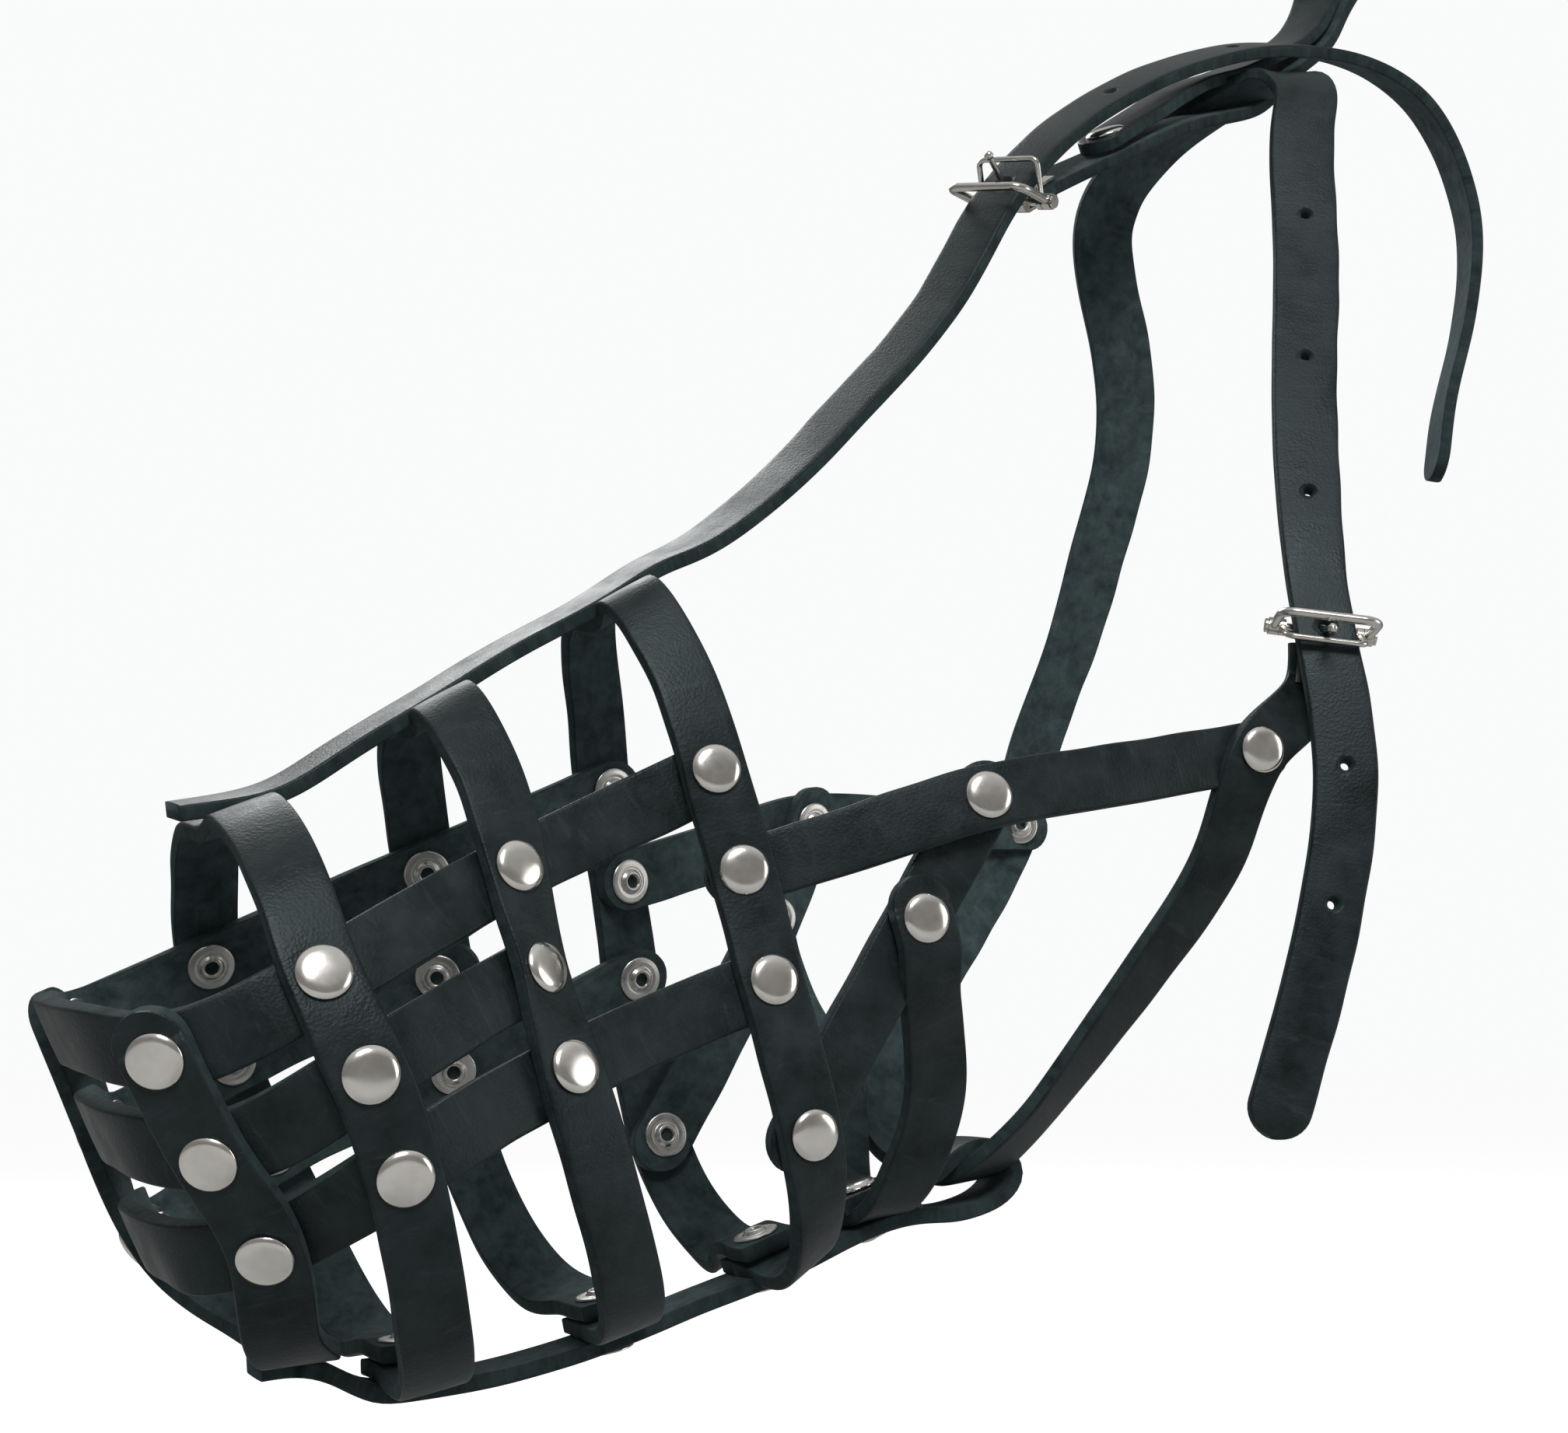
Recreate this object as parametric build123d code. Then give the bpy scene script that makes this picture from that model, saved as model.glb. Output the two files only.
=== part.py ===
from build123d import *
import os
from math import cos, pi, radians, sin, tan

import numpy as np

# Basket muzzle of cut black leather straps and nickel rivets, hanging by its crown loop with the
# nose down and to -X. The wearer's left side is -Y, +Z is up. All lengths are millimetres.
# Positions below are measured from the middle rivets of the front strap; ORIGIN then moves the
# whole muzzle so that 0, 0, 0 is the middle of the rear hoop.

# ---------------------------------------------------------------- driving dimensions
strap_width = 12.7        # every strap is cut to this width
neck_width = 15.0         # but the neck strap widens to this over the crown
leather = 3.0             # thickness of the leather
layer_gap = 0.45          # air between two straps lying on each other
pitch = leather + layer_gap
punch_r = 2.0             # adjustment holes in the forehead and neck straps
rivet_cap_r = 4.8         # nickel domes
rivet_cap_h = 2.1
rivet_post_r = 1.9
rivet_hole_r = 2.15       # hole in the leather round a post
washer_r = 4.7            # backs of the rivets
washer_h = 0.8
end_reach = 8.5           # from the last rivet to the end of a strap
lean_deg = (3.5, -8.0)    # how far the hanging basket leans over at the nose, and the change to the neck
lean_length = 211.0
ORIGIN = (109.0, 0.0, 42.0)

wire_d = 2.0              # buckle frame
keeper_wire_d = 1.3
prong_wire_d = 1.4
buckle_width = 22.0       # outside, along the heel bar
plate_t = 0.8             # sheet metal clip of the buckle


def unit(v):
    v = np.asarray(v, float)
    return v / np.linalg.norm(v)


def lean(p):
    """The hanging basket leans over its own length: a point to the far side is lifted a little."""
    a = radians(lean_deg[0] + lean_deg[1] * p[0] / lean_length)
    return np.array([p[0], p[1], p[2] + p[1] * tan(a)])


class Curve:
    """A natural cubic through its stations, on the chord between them."""

    def __init__(self, stations):
        p = self.p = np.array(stations, float)
        n = len(p)
        self.k = k = np.concatenate(
            [[0], np.cumsum(np.linalg.norm(np.diff(p[:, :3], axis=0), axis=1) ** 0.8)])
        h = self.h = np.diff(k)
        a, b = np.zeros((n, n)), np.zeros((n, p.shape[1]))
        a[0, 0] = a[-1, -1] = 1
        for i in range(1, n - 1):
            a[i, i - 1 : i + 2] = h[i - 1], 2 * (h[i - 1] + h[i]), h[i]
            b[i] = 6 * ((p[i + 1] - p[i]) / h[i] - (p[i] - p[i - 1]) / h[i - 1])
        self.m = np.linalg.solve(a, b)

    def at(self, t):
        i = min(max(int(np.searchsorted(self.k, t, side="right")) - 1, 0), len(self.p) - 2)
        h, a, c = self.h[i], (self.k[i + 1] - t) / self.h[i], (t - self.k[i]) / self.h[i]
        here = a * self.p[i] + c * self.p[i + 1] + (
            (a**3 - a) * self.m[i] + (c**3 - c) * self.m[i + 1]) * h * h / 6
        slope = (self.p[i + 1] - self.p[i]) / h + (
            (1 - 3 * a * a) * self.m[i] + (3 * c * c - 1) * self.m[i + 1]) * h / 6
        return here, slope


def strap_frames(stations, step=5.0):
    """Stations are (point, outward normal) pairs. Gives (point, along, across, outward) down the strap."""
    c = Curve([list(p) + list(unit(n)) for p, n in stations])
    frames = []
    for i in range(len(c.k) - 1):
        length = np.linalg.norm(c.p[i + 1][:3] - c.p[i][:3])
        for t in np.linspace(c.k[i], c.k[i + 1], max(2, int(length / step) + 1), endpoint=False):
            frames.append(c.at(t))
    frames.append(c.at(c.k[-1]))
    out = []
    for here, slope in frames:
        along = unit(slope[:3])
        outward = unit(here[3:6] - np.dot(here[3:6], along) * along)
        out.append((here[:3], along, np.cross(outward, along), outward))
    return out


def vec(p):
    return Vector(*(float(a - b) for a, b in zip(p, ORIGIN)))


def dirv(v):
    return Vector(*(float(a) for a in v))


def width_along(p, spare=0.0):
    """Width of the neck strap at a point: plain up to the buckle, wider over the crown."""
    return strap_width + (neck_width - strap_width) * min(1.0, max(0.0, (p[2] - 110.0) / 80.0)) + spare


def ribbon(frames, width=strap_width, thick=leather):
    """Solid strap: a rectangle carried down the frames; width is a number or a function of the point."""
    wires = []
    for p, along, across, outward in frames:
        wide = width(p) if callable(width) else width
        corner = [p + across * s * wide / 2 + outward * q * thick / 2
                  for s, q in ((-1, -1), (1, -1), (1, 1), (-1, 1))]
        wires.append(Wire.make_polygon([vec(c) for c in corner], close=True))
    return Solid.make_loft(wires, ruled=True)


def plane_at(p, along, outward):
    return Plane(origin=vec(p), x_dir=dirv(along), z_dir=dirv(outward))


def end_cutter(frame, sign, tall=leather + 6):
    """What is cut away to round the end of a strap; sign +1 at its last frame, -1 at its first."""
    p, along, _, outward = frame
    r = strap_width / 2
    corner = Pos(0.25 - r / 2, 0, 0) * Box(r + 0.5, strap_width + 4, tall)
    corner = corner - Pos(-r, 0, 0) * Cylinder(r, tall + 2)
    return plane_at(p, along * sign, outward) * corner


# ---------------------------------------------------------------- the net of crossings
# Where two straps cross: distance from the middle, then x and z on the left and on the right. The
# hanging basket sits a little askew, so the two sides differ.
CROSS = {
    "f1": (37.0, -5.9, 15.7, -11.1, 20.9), "f2": (35.0, 3.6, -0.4, -3.2, 1.7),
    "f3": (31.0, 13.7, -15.9, 5.5, -18.1),
    "h1u": (42.7, 17.8, 27.8, 15.9, 34.3), "h1m": (46.5, 25.1, 12.4, 21.7, 14.4),
    "h1l": (44.5, 32.0, -3.6, 30.0, -4.0),
    "h2u": (27.6, 55.2, 48.4, 55.6, 53.1), "h2m": (31.3, 58.6, 30.0, 60.6, 32.4),
    "h2l": (35.5, 63.4, 12.8, 64.9, 13.1),
    "h3u": (26.5, 95.4, 69.0, 94.6, 72.0), "h3c": (28.5, 100.6, 50.0, 99.2, 52.6),
    "h3l": (31.8, 104.8, 29.1, 103.6, 32.4),
    "h3d": (33.8, 111.9, 1.4, 111.3, -1.3), "c": (38.5, 148.8, 65.6, 148.8, 69.0),
    "j": (37.0, 134.6, 41.5, 139.0, 46.6),
    "n": (46.5, 210.6, 78.4, 211.2, 72.0),
}
# The same net on the middle plane, where the hoops meet the forehead strap and the chin strap.
TOP = {"h1": (10.1, 0.0, 58.8), "h2": (47.6, 0.0, 81.7), "h3": (85.0, 0.0, 106.4)}
BOTTOM = {"h1": (46.3, 0.0, -42.6), "h2": (85.8, 0.0, -36.4), "h3": (119.9, 0.0, -26.0)}
top_slope = {"h1": (1, 0, 0.35), "h2": (1, 0, 0.665), "h3": (1, 0, 0.69)}
bottom_slope = {"h1": (1, 0, 0.04), "h2": (1, 0, 0.22), "h3": (1, 0, 0.35)}
SHOULDER = {  # hoop stations between the top and the upper rivet, top first
    "h1": [(10.6, 14.0, 57.4), (13.2, 33.0, 47.5)],
    "h2": [(47.9, 9.5, 80.6), (51.0, 21.0, 69.0)],
    "h3": [(85.4, 9.0, 105.0), (89.8, 20.0, 91.0)],
}
HIP = {  # hoop stations between the lowest rivet and the bottom
    "h1": [(38.5, 38.5, -23.5), (45.0, 21.0, -38.2)],
    "h2": [(71.5, 35.0, -10.5), (81.8, 20.5, -30.5)],
    "h3": [(115.5, 28.5, -14.5), (119.4, 14.0, -23.4)],
}
NOSE = {"u": [(-15.0, 27.5, 18.6), (-17.9, 14.5, 18.8), (-18.6, 0.0, 18.9)],
        "m": [(-6.8, 25.5, 1.4), (-10.0, 13.5, 2.0), (-10.8, 0.0, 2.2)],
        "l": [(2.2, 23.0, -17.0), (-1.5, 12.0, -16.9), (-2.4, 0.0, -16.9)]}
BAND = {"u": ["f1", "h1u", "h2u", "h3u"], "m": ["f2", "h1m", "h2m"], "l": ["f3", "h1l", "h2l", "h3l"]}
BAND_REACH = {"u": 6.6, "m": end_reach, "l": 6.6}
HOOP = {"h1": ["h1u", "h1m", "h1l"], "h2": ["h2u", "h2m", "h2l"], "h3": ["h3u", "h3c", "h3l", "h3d"]}


def at(p, side):
    return lean((p[0], side * p[1], p[2]))


def crossing(name, side):
    half, xl, zl, xr, zr = CROSS[name]
    return np.array((xl, -half, zl) if side < 0 else (xr, half, zr))


def slopes(points):
    c = Curve([list(p) for p in points])
    return [unit(c.at(t)[1]) for t in c.k]


# Band lines, left end first, round the nose to the right end.
band_points, band_keys = {}, {}
for b, names in BAND.items():
    pts, keys = [], []
    for n in reversed(names):
        pts.append(crossing(n, -1)), keys.append(n + "-")
    for p in NOSE[b]:
        pts.append(at(p, -1)), keys.append("nose")
    for p in reversed(NOSE[b][:-1]):
        pts.append(at(p, 1)), keys.append("nose")
    for n in names:
        pts.append(crossing(n, 1)), keys.append(n + "+")
    band_points[b], band_keys[b] = pts, keys
over = {}   # direction, towards the neck, of the strap that crosses a hoop or the front strap
for b in BAND:
    for key, s in zip(band_keys[b], slopes(band_points[b])):
        if key != "nose":
            over[key] = s if key.endswith("+") else -s
for side, sign in (("-", -1), ("+", 1)):
    for key, s in zip(("h3c", "c", "n"), slopes([crossing(k, sign) for k in ("h3c", "c", "n")])):
        over[key + side] = s
    for key, s in zip(("h3d", "j", "cd"), slopes([crossing(k, sign) for k in ("h3d", "j", "c")])):
        over[key + side] = s

# Hoop straps start under the chin, go up the left side, over the top and down the right side; their
# two ends lap over each other on the chin strap.
normal, hoop_stations = {}, {}
for h, names in HOOP.items():
    ts, bs = unit(top_slope[h]), unit(bottom_slope[h])
    top_ref = np.array(TOP[h]) - np.cross(ts, (0, 1, 0)) * pitch
    bottom_ref = np.array(BOTTOM[h]) - np.cross((0, 1, 0), bs) * pitch
    left = [(at(p, -1), "", None) for p in HIP[h][::-1]] + [
        (crossing(n, -1), n + "-", over[n + "-"]) for n in names[::-1]]
    left += [(at(p, -1), "", None) for p in SHOULDER[h][::-1]]
    right = [(at(p, 1), "", None) for p in SHOULDER[h]] + [
        (crossing(n, 1), n + "+", over[n + "+"]) for n in names]
    right += [(at(p, 1), "", None) for p in HIP[h]]
    line = [(bottom_ref, "bottom", bs)] + left + [(top_ref, "top", ts)] + right + [(bottom_ref, "bottom",
        bs)]
    run = slopes([p for p, _, _ in line])
    run[0] = run[-1] = np.array((0.0, -1.0, 0.0))
    st, last = [], len(line) - 1
    for i, ((p, label, v), t) in enumerate(zip(line, run)):
        if v is None:   # between two crossings the strap lies halfway between their directions
            lo = next(j for j in range(i, -1, -1) if line[j][2] is not None)
            hi = next(j for j in range(i, last + 1) if line[j][2] is not None)
            v = unit(line[lo][2] * (hi - i) + line[hi][2] * (i - lo))
        n = unit(np.cross(v, t))
        n = n if np.dot(n, p - np.array((p[0], 0, 0.3 * p[0]))) > 0 else -n
        if label.endswith(("-", "+")):
            normal[label] = n
        level = {last: -0.5, last - 1: 0.05}.get(i, 0.5) * pitch
        if i == last:
            st.append((p + n * level + np.array((0, 7.8, 0)), n))
        st.append((p + n * level, n))
        if i == 0:
            st.insert(0, (p + n * level + np.array((0, 6.5, 0)), n))
        if i == last:
            st.append((p + n * level + np.array((0, -6.5, 0)), n))
    hoop_stations[h] = st

# The nose bands lie inside the hoops and inside the front strap.
for side, sign in (("-", -1), ("+", 1)):
    chain = [crossing(k, sign) for k in ("f1", "f2", "f3")] + [at((19.0, 22.0, -29.5), sign)]
    for key, s in zip(("f1", "f2", "f3"), slopes(chain)):
        n = unit(np.cross(s, over[key + side]))
        normal[key + side] = n if n[1] * sign > 0 else -n
nose_rise = unit((-17.5, 0, 36.0))
band_stations = {}
for b in BAND:
    run = slopes(band_points[b])
    st = []
    for key, p, t in zip(band_keys[b], band_points[b], run):
        n = unit(np.cross(nose_rise, t)) if key == "nose" else normal[key]
        n = n if key != "nose" or n[0] < 0 else -n
        n = unit(n - np.dot(n, t) * t)
        st.append((p - n * pitch / 2, n))
    st.insert(0, (st[0][0] - run[0] * BAND_REACH[b], st[0][1]))
    st.append((st[-1][0] + run[-1] * BAND_REACH[b], st[-1][1]))
    band_stations[b] = st

# Front strap: outside the nose bands, down both sides, its bottom lying on the chin strap.
chin_line = [(19.0, -39.4), (26.5, -39.2), (33.0, -41.2), (39.5, -44.2), (46.3, -44.6), (58.0, -43.6),
             (73.0, -41.0),
             (85.8, -38.0), (103.0, -32.4), (119.9, -27.4), (132.0, -22.6), (141.5, -19.2), (148.5, -17.6),
             (154.5, -17.0),
             (161.0, -16.8), (167.5, -15.6), (173.6, -12.8), (176.2, -8.8), (174.2, -4.8), (168.5, -2.8),
             (162.0, -4.8),
             (157.5, -8.2), (151.5, -10.4), (141.5, -12.3), (134.5, -15.0)]
front = []
for sign in (-1, 1):
    side = "-" if sign < 0 else "+"
    leg = [(crossing(k, sign) + normal[k + side] * pitch / 2, normal[k + side]) for k in ("f1", "f2", "f3")]
    t = unit(leg[0][0] - leg[1][0])
    leg.insert(0, (leg[0][0] + t * end_reach, leg[0][1]))
    leg.append((at((18.8, 23.0, -31.0), sign), (-0.15, 0.72 * sign, -0.68)))
    leg.append((at((24.5, 13.0, -35.2), sign), (0.0, 0.3 * sign, -0.95)))
    front.append(leg)
front_stations = {"front": front[0] + [((26.0, 0, -39.2 + pitch), (0, 0, -1))] + front[1][::-1]}


def on_plane(line, flip=1.0, roll=None, y=None):
    """Stations of a strap on the middle plane: x, z points, outward side by flip, roll in degrees."""
    pts = [np.array((p[0], 0.0 if y is None else y[i], p[1])) for i, p in enumerate(line)]
    out = []
    for i, (p, t) in enumerate(zip(pts, slopes(pts))):
        n = unit(np.cross(t, (0, 1, 0))) * flip
        a = radians(roll[i]) if roll else 0.0
        out.append((p, n * cos(a) + np.array((0, -1.0, 0)) * sin(a)))
    return out


chin_stations = {"chin": on_plane(chin_line, -1.0)}
# Forehead strap: flat over the hoops, then rolled towards the left as it climbs to its buckle.
forehead_line = [(0.2, 59.2), (9.7, 61.2), (17.6, 63.9), (29.0, 71.4), (46.7, 83.8), (65.0, 96.3),
                 (84.0, 108.5), (92.5, 114.6),
                 (101.0, 119.4), (117.5, 132.3), (143.5, 160.1), (163.8, 185.6), (181.7, 215.6),
                 (212.7, 245.3), (250.5, 265.6),
                 (283.6, 272.5), (310.1, 267.0), (325.1, 246.7), (327.7, 225.1), (322.7, 202.6),
                 (315.6, 182.2), (311.0, 162.1)]
forehead_turn = 29.0      # how far the strap has rolled towards the left where its buckle sits
forehead_roll = [10, 11, 12, 12, 12, 12, 13, 14, 17, 22, 28, 29, forehead_turn, 29, 28, 27, 26, 26, 26, 26,
                 26, 26]
forehead_stations = {"forehead": on_plane(forehead_line, 1.0, forehead_roll)}
# ---------------------------------------------------------------- where the two buckles sit
heel_r = wire_d / 2
heel_below = 4.4          # heel bar axis to the middle of the strap that runs over it


def buckle_place(hole, n, t, turn):
    """Frame of a buckle: origin on the heel bar, x along the clip's strap, y along the bar, z outward."""
    n = unit(n)
    t = unit(np.asarray(t, float) - np.dot(t, n) * n)
    b = np.cross(n, t)
    x = t * cos(radians(turn)) - b * sin(radians(turn))
    return np.asarray(hole, float) - n * heel_below, x, np.cross(n, x), n


neck_hole = (225.8, -52.0, 105.1)
neck_buckle = buckle_place(neck_hole, (-0.5, -0.86, 0.0), (0.0, -0.1, -1.0), 11.0)
forehead_hole = (181.7, 0.0, 215.6)
fh_t = unit((0.51, 0.0, 0.86))
fh_n = unit(np.cross(fh_t, (0, 1, 0)) * cos(radians(forehead_turn))
            + np.array((0, -1.0, 0)) * sin(radians(forehead_turn)))
forehead_buckle = buckle_place(forehead_hole, fh_n, fh_t, 0.0)
clip_dip = 26.0           # the crown loop leaves the forehead buckle this far inward of the strap above it


# Crown loop: one strap folded double. The lower layer runs up from the buckle, round the far end and back.
crown_lower = [(212.2, 0.5, 230.6), (229.0, 1.5, 240.8), (246.0, 5.0, 249.0), (262.0, 10.0, 258.2),
               (278.0, 15.0, 273.4), (291.0, 17.0, 285.0), (299.0, 17.5, 298.5), (306.5, 17.5, 310.5)]
crown_upper = [(204.5, -0.8, 229.5), (210.3, -0.7, 233.9), (227.0, 1.5, 246.8), (242.0, 5.5, 257.5),
               (256.0, 10.0, 265.4),
               (274.5, 15.0, 277.5), (287.6, 17.0, 287.8), (294.6, 17.5, 300.2), (297.0, 17.5, 311.0)]
crown_eye = [((309.0, 17.5, 319.5), (0.95, 0.1, 0.15)), ((304.5, 17.5, 325.5), (0.1, -0.1, 1.0)),
             ((299.0, 17.5, 320.5), (-0.95, -0.2, 0.25))]
hb, hx, hy, hn = forehead_buckle
clip_x = unit(hx * cos(radians(clip_dip)) - hn * sin(radians(clip_dip)))
clip_n = np.cross(clip_x, hy)
crown_start = [(hb + clip_x * 2.4, -clip_n), (hb + clip_x * 12.5, -clip_n)]
crown_stations = {"crown": crown_start + [(p, (0.45, 0.4, -0.8)) for p in crown_lower] + crown_eye
                  + [(p, (-0.5, -0.35, 0.8)) for p in crown_upper[::-1]]}

cheek_stations, diagonal_stations = {}, {}
for name, sign in (("left", -1), ("right", 1)):
    side = "-" if sign < 0 else "+"
    normal["c" + side] = unit(np.cross(over["c" + side], (-0.55, 0.02 * sign, -0.83))) * -sign
    if normal["c" + side][1] * sign < 0:
        normal["c" + side] = -normal["c" + side]
    normal["n" + side] = unit((-0.2, 0.97 * sign, -0.05)) if sign < 0 else unit((0.2, 0.97, -0.05))
    c3, cc, cn = (crossing(k, sign) for k in ("h3c", "c", "n"))
    n3, nc, nn = (normal[k + side] for k in ("h3c", "c", "n"))
    st = [(c3 - n3 * pitch / 2 - over["h3c" + side] * 6.6, n3), (c3 - n3 * pitch / 2, n3)]
    st += [((c3 + cc) / 2 + np.array((0, 1.0 * sign, 0)), n3 + nc), (cc + nc * pitch / 2, nc)]
    st += [((cc + cn) / 2 + nc * 0.4, nc + nn), (cn - nn * pitch / 2, nn),
           (cn - nn * pitch / 2 + over["n" + side] * end_reach, nn)]
    cheek_stations[name] = st
    d3, dj = crossing("h3d", sign), crossing("j", sign)
    nd = normal["h3d" + side]
    normal["j" + side] = nj = unit(nd + nc)
    st = [(d3 - nd * pitch / 2 - over["h3d" + side] * 8.0, nd), (d3 - nd * pitch / 2, nd),
          (dj - nj * pitch / 2, nj)]
    st += [(cc - nc * pitch / 2, nc), (cc - nc * pitch / 2 + over["cd" + side] * end_reach, nc)]
    diagonal_stations[name] = st

jowl_lift = 0.35          # extra air under the jowl strap's ends, which lie askew on the diagonals
# Jowl strap: one strap from the left diagonal, under the throat between the chin strap's layers,
# to the right one.
jowl = []
for sign in (-1, 1):
    side = "-" if sign < 0 else "+"
    p, n = crossing("j", sign), normal["j" + side]
    top, knee = p + n * (pitch / 2 + jowl_lift), np.array(
        (140.3 + 2.2 * sign, 35.5 * sign, 28.6 + 0.6 * sign))
    down = unit(knee - top - np.dot(knee - top, n) * n)
    leg = [(top, n), (top + down * 5.0, n), (knee, (-0.05, 0.97 * sign, -0.2)),
           ((144.9, 25.4 * sign, 16.8), (0.0, 0.9 * sign, -0.4)),
           ((147.0, 20.3 * sign, 4.5), (0.0, 0.88 * sign, -0.45)),
           ((145.2, 15.2 * sign, -6.5), (0.0, 0.8 * sign, -0.55)),
           ((142.8, 9.0 * sign, -14.4), (0.1, 0.35 * sign, -0.9))]
    leg.insert(0, (top - down * end_reach, n))
    jowl.append(leg)
jowl_stations = {"jowl": jowl[0] + [((141.5, 0, -15.75), (0.33, 0, -0.95))] + jowl[1][::-1]}

# Neck strap: from the left buckle down through the throat loop, up the right side, over the crown,
# down the left side through the buckle to its hanging tail.
nl, nr = normal["n-"], normal["n+"]
nb, nx, ny, nn_ = neck_buckle
neck = [(nb + nx * 2.4, nn_), (nb + nx * 12.5, nn_), (crossing("n", -1) + nl * pitch / 2, nl),
        ((207.6, -39.6, 60.4), (0.0, -0.9, -0.35)), ((200.1, -29.7, 40.4), (0.1, -0.82, -0.5)),
        ((188.6, -21.3, 21.8), (0.2, -0.74, -0.6)), ((178.4, -14.1, 5.7), (0.2, -0.6, -0.75)),
        ((169.4, -8.0, -5.4), (0.1, -0.4, -0.9)), ((166.6, 0.0, -9.2), (0.12, 0.0, -0.99)),
        ((163.8, 8.0, -7.4), (0.1, 0.35, -0.9)), ((160.0, 18.5, -2.5), (0.0, 0.7, -0.6)),
        ((163.0, 26.0, 9.6), (0.1, 0.95, -0.3)), ((177.5, 33.4, 31.4), (0.2, 0.93, -0.2)),
        (crossing("n", 1) + nr * pitch / 2, nr), ((217.3, 46.5, 91.8), (0.35, 0.93, 0.0)),
        ((226.3, 42.5, 117.8), (0.5, 0.86, 0.0)), ((233.3, 39.0, 144.0), (0.5, 0.86, 0.0)),
        ((238.3, 35.8, 164.7), (0.5, 0.86, 0.05)), ((238.2, 32.8, 180.9), (0.5, 0.86, 0.1)),
        ((234.6, 30.4, 198.8), (0.45, 0.86, 0.15)), ((229.5, 27.0, 228.0), (0.25, 0.85, 0.35)),
        ((240.0, 20.0, 245.5), (-0.1, 0.6, 0.8)), ((252.0, 9.0, 255.4), (-0.15, 0.3, 0.93)),
        ((260.5, -2.5, 259.4), (-0.1, -0.1, 1.0)), ((262.6, -10.5, 255.4), (-0.35, -0.7, 0.6)),
        ((258.6, -15.4, 242.0), (-0.45, -0.87, 0.2)), ((252.0, -22.0, 213.4), (-0.5, -0.85, 0.1)),
        ((240.4, -33.0, 172.8), (-0.5, -0.86, 0.1)), ((230.8, -43.0, 137.2), (-0.5, -0.86, 0.1)),
        ((225.8, -52.0, 105.1), (-0.5, -0.86, 0.0)), ((224.8, -57.5, 74.7), (-0.5, -0.86, -0.05)),
        ((219.6, -57.5, 45.9), (-0.45, -0.88, -0.1)), ((204.8, -54.0, -0.5), (-0.45, -0.88, -0.1))]
neck_stations = {"neck": neck}


# ---------------------------------------------------------------- rivets
# Each is (point between the two straps, outward normal, straps outside that point, straps inside it).
def one(name, side):
    key = name + ("-" if side < 0 else "+")
    return (crossing(name, side), normal[key], 1, 1)


RIVETS = {
    "front_strap": [one(k, s) for k in ("f1", "f2", "f3") for s in (-1, 1)],
    "front_hoop": [one(k, s) for k in ("h1u", "h1m", "h1l") for s in (-1, 1)],
    "middle_hoop": [one(k, s) for k in ("h2u", "h2m", "h2l") for s in (-1, 1)],
    "rear_hoop": [one(k, s) for k in ("h3u", "h3c", "h3l", "h3d") for s in (-1, 1)],
    "cheek": [one(k, s) for k in ("c", "n") for s in (-1, 1)]
             + [(crossing("j", s), normal["j" + ("-" if s < 0 else "+")], 1 + jowl_lift / pitch, 1)
                for s in (-1, 1)],
}
bottom_rivets = [(np.array(BOTTOM[h]), np.cross((0, 1, 0), unit(bottom_slope[h])), 1, 2) for h in HOOP]
crown_rivet = ((211.4, 0.0, 232.1), unit((-0.46, -0.29, 0.84)), 1, 1)
throat_at = {"fore": (141.5, 0.0, -15.75), "aft": (154.5, 0.0, -13.2)}


NODES = {}
os.makedirs("parts", exist_ok=True)


def drill(p, n, r=rivet_hole_r, depth=13.0):
    return Plane(origin=vec(p), z_dir=dirv(n)) * Cylinder(r, depth)


def rivet_seat(p, n, outside, inside):
    """Hole for the post, and the hollows the cap and the washer press into the leather round it."""
    top = leather / 2 + pitch * (outside - 0.5) + 0.2
    low = leather / 2 + pitch * (inside - 0.5) + 0.2
    tool = Pos(0, 0, (top - low) / 2) * Cylinder(rivet_hole_r, top + low + 2)
    tool = (tool + Pos(0, 0, top + 2.0) * Cylinder(rivet_cap_r + 0.15, 4.0)
            + Pos(0, 0, -low - 2.0) * Cylinder(washer_r + 0.15, 4.0))
    return Plane(origin=vec(p), z_dir=dirv(n)) * tool


def strap(stations, cutters, rounded=(True, True), width=strap_width):
    frames = strap_frames(stations, 6.0)
    if rounded[0]:
        cutters = cutters + [end_cutter(frames[0], -1)]
    if rounded[1]:
        cutters = cutters + [end_cutter(frames[-1], 1)]
    solid = ribbon(frames, width)
    for c in cutters:
        solid = solid - c
    return solid


def dented(solid, stations, *others):
    """Straps that press on each other dent: takes the other's room, and a little air, out of this one."""
    mine = np.array([f[0] for f in strap_frames(stations, 4.0)])
    for other in others:
        frames = strap_frames(other, 6.0)
        close = [np.min(np.linalg.norm(mine - f[0], axis=1)) < 16.0 for f in frames]
        i = 0
        while i < len(frames):
            if close[i]:
                j = i
                while j + 1 < len(frames) and close[j + 1]:
                    j += 1
                run = frames[max(i - 1, 0) : j + 2]
                if len(run) > 1:
                    wide = (lambda p: width_along(p, 0.4)) if other is neck_run else strap_width + 0.4
                    solid = solid - ribbon(run, wide, leather + 0.24)
                i = j
            i += 1
    return max(solid.solids(), key=lambda x: x.volume)


def nearest(stations, spot):
    return min(strap_frames(stations), key=lambda f: np.linalg.norm(f[0] - np.array(spot)))


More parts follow.
